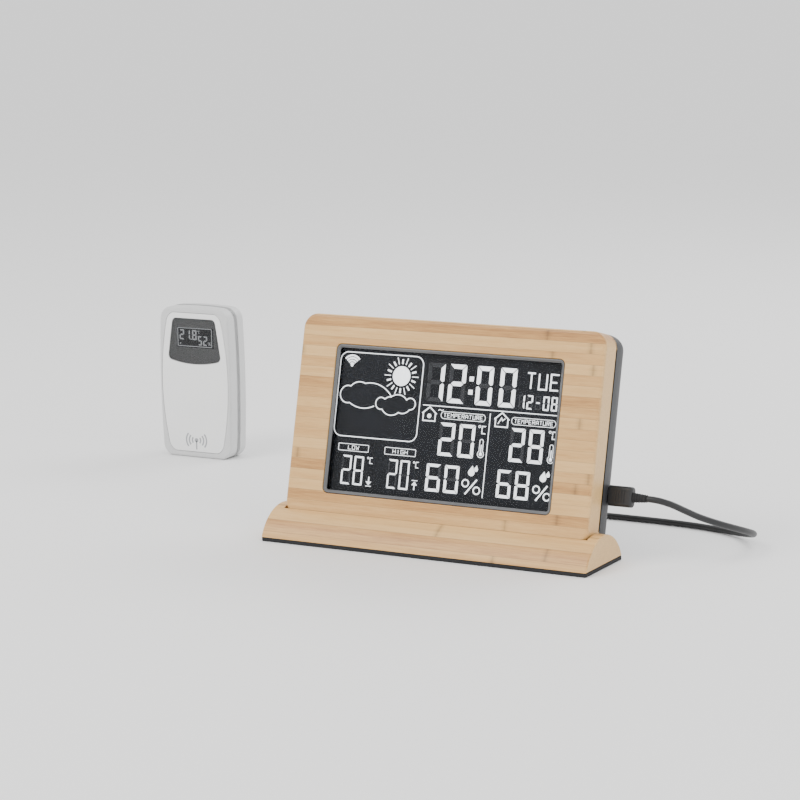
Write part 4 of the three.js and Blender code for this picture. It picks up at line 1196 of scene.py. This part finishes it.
class Print:
    """Thin flat shapes on one plane, gathered into one piece."""

    def __init__(self, front, rear):
        self.front, self.rear = front, rear
        self.points, self.faces = [], []

    def shape(self, outline):
        start, count = len(self.points), len(outline)
        self.points += [(x, self.front, z) for x, z in outline]
        self.points += [(x, self.rear, z) for x, z in outline]
        self.faces.append(tuple(start + i for i in range(count)))
        self.faces.append(tuple(start + count + i for i in reversed(range(count))))
        for i in range(count):
            after = (i + 1) % count
            self.faces.append((start + i, start + count + i, start + count + after, start + after))

    def disc(self, x, z, radius, steps=32):
        self.shape(circle_at(x, z, radius, steps)(0))

    def line(self, points, width, closed=False):
        """A stroke of even width with mitred corners."""
        flat = [Vector(point) for point in points]
        count = len(flat)
        left, right = [], []
        for i, here in enumerate(flat):
            before = flat[i - 1] if closed or i > 0 else None
            after = flat[(i + 1) % count] if closed or i < count - 1 else None
            ways = [(here - before).normalized()] if before is not None else []
            ways += [(after - here).normalized()] if after is not None else []
            way = sum(ways, Vector((0, 0))).normalized()
            side = Vector((-way.y, way.x))
            share = max(0.5, abs(side.dot(Vector((-ways[0].y, ways[0].x)))))
            left.append(here + side * width / 2 / share)
            right.append(here - side * width / 2 / share)
        start = len(self.points)
        for y in (self.front, self.rear):
            self.points += [(p.x, y, p.y) for p in left + right]
        deep = 2 * count
        for i in range(count if closed else count - 1):
            after = (i + 1) % count
            a, b = start + i, start + after
            c, d = start + count + after, start + count + i
            self.faces.append((a, b, c, d))
            self.faces.append((a + deep, d + deep, c + deep, b + deep))
            self.faces.append((a, a + deep, b + deep, b))
            self.faces.append((d, c, c + deep, d + deep))
        if not closed:
            for a, d in ((start, start + count), (start + count - 1, start + deep - 1)):
                self.faces.append((a, d, d + deep, a + deep))

    def segment_parts(self, low, high, stroke, names):
        """The parts of one seven-segment digit in a box (x, z)."""
        (x0, z0), (x1, z1) = low, high
        slit, mid, t = stroke * 0.14, (low[1] + high[1]) / 2, stroke
        top = [(x0 + slit, z1), (x1 - slit, z1), (x1 - t - slit, z1 - t), (x0 + t + slit, z1 - t)]
        side = [(x1, z1 - slit), (x1, mid + slit + t * 0.25), (x1 - t / 2, mid + slit),
                (x1 - t, mid + t / 2 + slit), (x1 - t, z1 - t - slit)]
        bar = [(x0 + t / 2 + slit, mid), (x0 + t + slit, mid + t / 2), (x1 - t - slit, mid + t / 2),
               (x1 - t / 2 - slit, mid), (x1 - t - slit, mid - t / 2), (x0 + t + slit, mid - t / 2)]

        def across(shape):
            return [(x0 + x1 - x, z) for x, z in shape]

        def down(shape):
            return [(x, z0 + z1 - z) for x, z in shape]
        shapes = {"a": top, "b": side, "c": down(side), "d": down(top),
                  "e": across(down(side)), "f": across(side), "g": bar}
        for name in names:
            self.shape(shapes[name])

    def letters(self, text, low, high, stroke):
        """Words in a box (x, z), its letters evenly spaced."""
        step = (high[0] - low[0]) / len(text)
        for i, letter in enumerate(text):
            wide, tall = step * 0.66 / 2, (high[1] - low[1]) / 4
            left = low[0] + step * (i + 0.17)
            for points in LETTERS[letter]:
                self.line([(left + x * wide, low[1] + z * tall) for x, z in points], stroke)

    def made(self, name, place, material, slot):
        piece = new_piece(name, self.points, self.faces, place)
        return done(piece, material, "station", slot, angle=10)


def number(lit, ghost, text, low, high, stroke, gap_share):
    """Digits side by side in a box. Every digit has all its parts, and those not lit are ghosts."""
    wide = (high[0] - low[0]) / (len(text) + (len(text) - 1) * gap_share)
    for i, digit in enumerate(text):
        left = low[0] + i * wide * (1 + gap_share)
        box = ((left, low[1]), (left + wide, high[1]))
        lit.segment_parts(*box, stroke, DIGITS[digit])
        ghost.segment_parts(*box, stroke, [part for part in "abcdefg" if part not in DIGITS[digit]])


def celsius(lit, x, z, size):
    """A degree sign and a C, centred."""
    ring = circle_at(x - size * 0.62, z + size * 0.55, size * 0.2, 14)(0)
    lit.line(ring, size * 0.13, True)
    low, high = (x - size * 0.2, z - size * 0.78), (x + size * 0.75, z + size * 0.72)
    lit.segment_parts(low, high, size * 0.2, DIGITS["C"])


def percent(lit, low, high):
    """A slash between two rings, filling a box."""
    wide, tall = high[0] - low[0], high[1] - low[1]
    ring, away = min(wide * 0.2, tall * 0.23), tall * 0.06
    lit.line([(low[0] + wide * 0.2, low[1]), (high[0] - wide * 0.2, high[1])], tall * 0.11)
    for x, z in ((low[0] + ring, high[1] - ring - away), (high[0] - ring, low[1] + ring + away)):
        lit.line(circle_at(x, z, ring, 20)(0), tall * 0.09, True)


def house(lit, x, z, outdoors):
    """A gabled house, with a zigzag in it for outdoors, or a dot in it and a wave beside it."""
    lit.line([(x - 4, z + 0.6), (x - 4, z - 4), (x + 4, z - 4), (x + 4, z + 0.6)], 0.75)
    lit.line([(x - 4.8, z + 0.2), (x, z + 4.2), (x + 4.8, z + 0.2)], 0.8)
    if outdoors:
        lit.line([(x - 2.3, z - 2.4), (x - 0.2, z + 1.2), (x + 0.5, z - 0.4), (x + 2.2, z + 0.9)], 0.6)
    else:
        lit.disc(x, z - 1.1, 1.35, 20)
        lit.line([(x + 5.6, z + 2.5), (x + 6.8, z + 3.2), (x + 8.0, z + 2.5), (x + 9.2, z + 3.2)], 0.45)


def pill_label(lit, text, low, high, corner):
    """A word in an outlined box."""
    middle_x, middle_z = (low[0] + high[0]) / 2, (low[1] + high[1]) / 2
    half, tall = (high[0] - low[0]) / 2, high[1] - low[1]
    lit.line(box_at(low, high, corner, 6)(0), 0.36, True)
    reach, rise = min(half - corner * 0.7, len(text) * tall * 0.33), tall * 0.27
    lit.letters(text, (middle_x - reach, middle_z - rise), (middle_x + reach, middle_z + rise), 0.34)


def thermometer(lit, x, z):
    """A tube with a bulb, 11 tall."""
    bulb = z - 3.3
    lit.line(arc(x, bulb, 2.0, 125, 290, 12) + arc(x, z + 4.3, 1.1, 0, 180, 6), 0.42, True)
    lit.disc(x, bulb, 1.05, 20)
    lit.line([(x, bulb), (x, z + 2.2)], 0.7)


def drops(lit, x, z):
    """Two drops, each a round foot drawn up to a point."""
    for away, up, size in ((-0.9, -0.6, 2.1), (2.0, 1.4, 1.25)):
        outline = arc(x + away, z + up, size, -215, 250, 16)
        outline.append((x + away + size * 0.25, z + up + size * 1.95))
        lit.shape(outline)


def arrow(lit, x, z, up):
    """An arrow that points at a short line."""
    way = 1 if up else -1
    lit.shape([(x - 1.9, z + way * 0.2), (x + 1.9, z + way * 0.2), (x, z + way * 2.5)])
    lit.line([(x, z + way * 0.4), (x, z - way * 2.6)], 0.75)
    lit.line([(x - 1.9, z + way * 3.0), (x + 1.9, z + way * 3.0)], 0.45)


def sun(lit, x, z):
    """A disc with long thin rays and short thick ones in turn."""
    lit.disc(x, z, 5.9, 48)
    rays, near = 20, 7.2
    for i in range(rays):
        angle = 2 * math.pi * i / rays
        far, width = (10.1, 1.05) if i % 2 else (11.4, 0.55)
        way = Vector((math.cos(angle), math.sin(angle)))
        lit.line([(x + way.x * near, z + way.y * near), (x + way.x * far, z + way.y * far)], width)


def waves(lit, x, z):
    """Radio waves fanning upwards from a dot."""
    count, reach, spread, dot = 4, 6.2, 50, 0.9
    for ring in range(1, count + 1):
        lit.line(arc(x, z, reach * ring / count, 90 - spread, 2 * spread, 16), 1.05)
    lit.disc(x, z + dot * 0.4, dot, 16)


# Corners (x, z) where a cloud's bumps meet, each with the rise of the bump that follows it.
BIG_CLOUD = ((-48.2, 65.8, 2.3), (-65.2, 66.7, 6.8), (-65.3, 76.6, 1.7), (-55.7, 78.8, 3.0), (-37.2, 72.2, 0))
SMALL_CLOUD = (
    (-42.7, 64.3, 5.3), (-41.4, 70.4, 0.5), (-37.2, 72.0, 2.2),
    (-26.7, 70.9, 5.0), (-24.2, 65.2, 1.3), (-31.5, 63.1, 2.6),
)


def bumps(corners, closed):
    """A line from corner to corner, each stretch an arc that rises to its left."""
    path = []
    count = len(corners)
    for i in range(count if closed else count - 1):
        x, z, rise = corners[i]
        start, end = Vector((x, z)), Vector(corners[(i + 1) % count][:2])
        half = (end - start) / 2
        radius = (half.length_squared + rise ** 2) / (2 * rise)
        centre = start + half + Vector((-half.y, half.x)).normalized() * (rise - radius)
        sweep = 2 * math.asin(min(1, half.length / radius))
        if rise > radius:
            sweep = 2 * math.pi - sweep
        steps = max(5, round(sweep * radius / 0.7))
        path += [centre + Matrix.Rotation(-sweep * k / steps, 2) @ (start - centre) for k in range(steps)]
    if not closed:
        path.append(Vector(corners[-1][:2]))
    return path


# The console's numbers: text, lower left and upper right corner (x, z), stroke, gap between digits.
CONSOLE_NUMBERS = (
    ("1", (-14.2, 71.3), (-3, 94.2), 2.6, 0),
    ("2", (0, 71.3), (11.2, 94.2), 2.6, 0),
    ("0", (18.3, 71.3), (28.9, 94.2), 2.6, 0),
    ("0", (33.5, 71.3), (44.1, 94.2), 2.6, 0),
    ("12-08", (46.6, 71.2), (71.4, 79.5), 0.95, 0.34),
    ("20", (-2.8, 40), (20.6, 59.5), 2.0, 0.28),
    ("28", (43.6, 40.2), (65.1, 59.8), 2.0, 0.28),
    ("60", (-8.8, 18.5), (12.8, 34.8), 1.75, 0.28),
    ("68", (37.8, 18.8), (58.5, 35.1), 1.75, 0.28),
    ("28", (-66, 17.8), (-51.3, 35.2), 1.1, 0.28),
    ("20", (-34.6, 17.8), (-20.2, 35.2), 1.1, 0.28),
)


# Its framed words: text, two corners, corner radius.
CONSOLE_LABELS = (
    ("TEMPERATURE", (-2.8, 61.8), (26.3, 66.0), 2.0),
    ("TEMPERATURE", (43.4, 61.8), (71.6, 66.0), 2.0),
    ("LOW", (-69.5, 37.9), (-49.0, 42.0), 0.4),
    ("HIGH", (-37.9, 37.9), (-17.2, 42.0), 0.4),
)


SENSOR_NUMBERS = (
    ("21", (-13.4, 82.4), (-4.9, 89.4), 0.95, 0.3),
    ("8", (-3.1, 82.4), (0.5, 89.4), 0.95, 0),
    ("52", (1.6, 78.9), (9.2, 85.4), 0.9, 0.3),
)


def display_prints(place, node, numbers):
    """Lit and unlit shapes just in front of a glass, with its numbers on them."""
    front = box_in(place, node)[0][1]
    lit = Print(front - 0.14, front - 0.06)
    ghost = Print(front - 0.05, front - 0.02)
    for row in numbers:
        number(lit, ghost, *row)
    return lit, ghost


def console_display(lit_material, ghost_material):
    lit, ghost = display_prints(CONSOLE, "lcd_panel", CONSOLE_NUMBERS)
    # The forecast panel.
    lit.line(box_at((-74, 46.5), (-17.7, 97), 5, 8)(0), 0.6, True)
    waves(lit, -66, 88.8)
    sun(lit, -31.7, 84.8)
    lit.line(bumps(BIG_CLOUD, False), 0.62)
    lit.line(bumps(SMALL_CLOUD, True), 0.62, True)
    # The clock's colon, the weekday, and rules between the fields.
    for z in (78.5, 86.3):
        lit.shape([(13.5, z - 1.4), (16.3, z - 1.4), (16.3, z + 1.4), (13.5, z + 1.4)])
    lit.letters("TUE", (49.6, 83.2), (72.2, 92.3), 0.95)
    lit.line([(-15.4, 68.9), (72.9, 68.9)], 0.55)
    lit.line([(29.3, 67.1), (29.3, 17.6)], 0.55)
    # Marks beside the numbers: indoors in the middle, outdoors on the right, the day's range below left.
    for row in CONSOLE_LABELS:
        pill_label(lit, *row)
    for x, z, size in ((25.2, 57.2, 3.2), (70.6, 57.4, 3.2), (-47.0, 33.2, 2.5), (-16.0, 33.2, 2.5)):
        celsius(lit, x, z, size)
    house(lit, -10.6, 63.8, False)
    house(lit, 37.0, 63.8, True)
    thermometer(lit, 25.4, 46.2)
    thermometer(lit, 70.4, 46.6)
    drops(lit, 21.6, 32.4)
    drops(lit, 67.8, 32.9)
    percent(lit, (15.4, 18.9), (27.2, 27.9))
    percent(lit, (61.2, 19.2), (72.4, 28.2))
    arrow(lit, -46.8, 20.9, False)
    arrow(lit, -16.0, 20.9, True)
    lit.made("display_lit", CONSOLE, lit_material, "lcd")
    ghost.made("display_unlit", CONSOLE, ghost_material, "lcd")


def radio_mark(material):
    """Printed low on the faceplate: waves on both sides of a mast."""
    mark = Print(-0.04, 0.3)
    z = 12.2
    for side in (-1, 1):
        for radius in (3.4, 5.9, 8.3):
            wave = arc(0, 0, radius, -38, 76, 12)
            mark.line([(side * x, z + rise * 0.9) for x, rise in wave], 1.1)
    mark.disc(0, z, 1.5, 24)
    mark.line([(0, 11.6), (0, 5.6)], 1.0)
    mark.made("radio_mark", SENSOR, material, "sensor_white")


def sensor_display(lit_material, ghost_material):
    lit, ghost = display_prints(SENSOR, "sensor_lcd", SENSOR_NUMBERS)
    lit.line(box_at((-14.9, 77.9), (12.9, 90.6), 0.5, 2)(0), 0.5, True)
    lit.disc(-4.0, 82.9, 0.45, 12)
    celsius(lit, 2.4, 88.2, 1.2)
    percent(lit, (9.9, 79.1), (12.2, 81.5))
    lit.disc(-12.9, 79.6, 0.55, 12)
    lit.made("sensor_lit", SENSOR, lit_material, "lcd")
    ghost.made("sensor_unlit", SENSOR, ghost_material, "lcd")


# ---- CAD nodes that stay ----
def dress(material, *nodes):
    """Gives CAD nodes that stay visible a material."""
    for node in nodes:
        for slot in frame["nodes"][node].material_slots:
            slot.material = material


# ---- the whole picture ----
make_camera()
make_studio()
make_floor()

wood = bamboo()
black_case = moulded("case_black", (0.026, 0.0265, 0.029), 0.5)
trim_grey = moulded("trim_grey", (0.11, 0.112, 0.116), 0.3, 0.4, 0.008)
white_case = moulded("sensor_white", (0.60, 0.605, 0.605), 0.42, 0.4, 0.015, drift=0.025)
white_gloss = moulded("sensor_face_white", (0.86, 0.865, 0.86), 0.24, 0.8, 0.005, drift=0.015)
inner_white = moulded("inner_white", (0.7, 0.7, 0.68), 0.5, 0.5, 0.02, drift=0.04)
switch_black = moulded("switch_black", (0.02, 0.02, 0.022), 0.45, 0.3)
lead_black = moulded("lead_black", (0.014, 0.014, 0.015), 0.46, 0.6, 0.012)
jacket = moulded("cord_jacket", (0.016, 0.016, 0.017), 0.42, 0.9, 0.02, specular=0.4)
pad_rubber = moulded("pad_rubber", (0.02, 0.02, 0.021), 0.82, 0.3, 0.05, specular=0.3, drift=0.2)
acrylic = smoked_acrylic("window", (0.012, 0.013, 0.016), 0.04)
lens_glass = smoked_acrylic("sensor_lens", (0.012, 0.013, 0.015), 0.5)
lcd_black = dark_lcd()
lit_white = lit_segments("segments_lit", (0.93, 0.965, 1.0), 1.25)
unlit_grey = milky("segments_unlit", (0.016, 0.018, 0.023))
grey_print = milky("grey_print", (0.33, 0.34, 0.36))
steel = brushed_steel("steel")
tin = brushed_steel("tin", (0.62, 0.61, 0.58), (1, 1, 1), 0.35)
board = circuit_board()
guide = milky("light_guide", (0.86, 0.88, 0.9))
tie_cloth = woven_tie()
foil = cell_jacket()
tongue_white = milky("tongue_white", (0.75, 0.75, 0.73))

console_frame(wood)
window_trim(trim_grey)
display_window(acrylic)
console_display(lit_white, unlit_grey)
rear_cover(black_case)
console_buttons(black_case)
hinged_door("console_door", "battery_door", CONSOLE, "case_black", black_case)
console_screws(steel)
console_cells(foil)
stand_base(wood)
stand_pad(pad_rubber)
power_plug(lead_black, pad_rubber, steel)
far_plug(lead_black, steel, tongue_white)
coil_tie(tie_cloth)
power_cord(jacket)
sensor_front(white_case)
sensor_face(white_gloss)
sensor_lens(lens_glass)
sensor_back(white_case)
hinged_door("sensor_door", "sensor_battery_door", SENSOR, "sensor_white", white_case)
sensor_details(switch_black, steel)
sensor_cells(foil)
sensor_display(lit_white, unlit_grey)
radio_mark(grey_print)

dress(lcd_black, "lcd_panel", "sensor_lcd")
dress(guide, "backlight_panel")
dress(inner_white, "lcd_carrier", "indoor_sensor", "sensor_probe")
dress(board, "main_board", "power_board", "button_board", "sensor_board")
dress(tin, "wifi_module", "usb_socket", "battery_contact_left", "battery_contact_right",
      "sensor_contact_lower", "sensor_contact_upper")
dress(black_case, "piezo_buzzer")
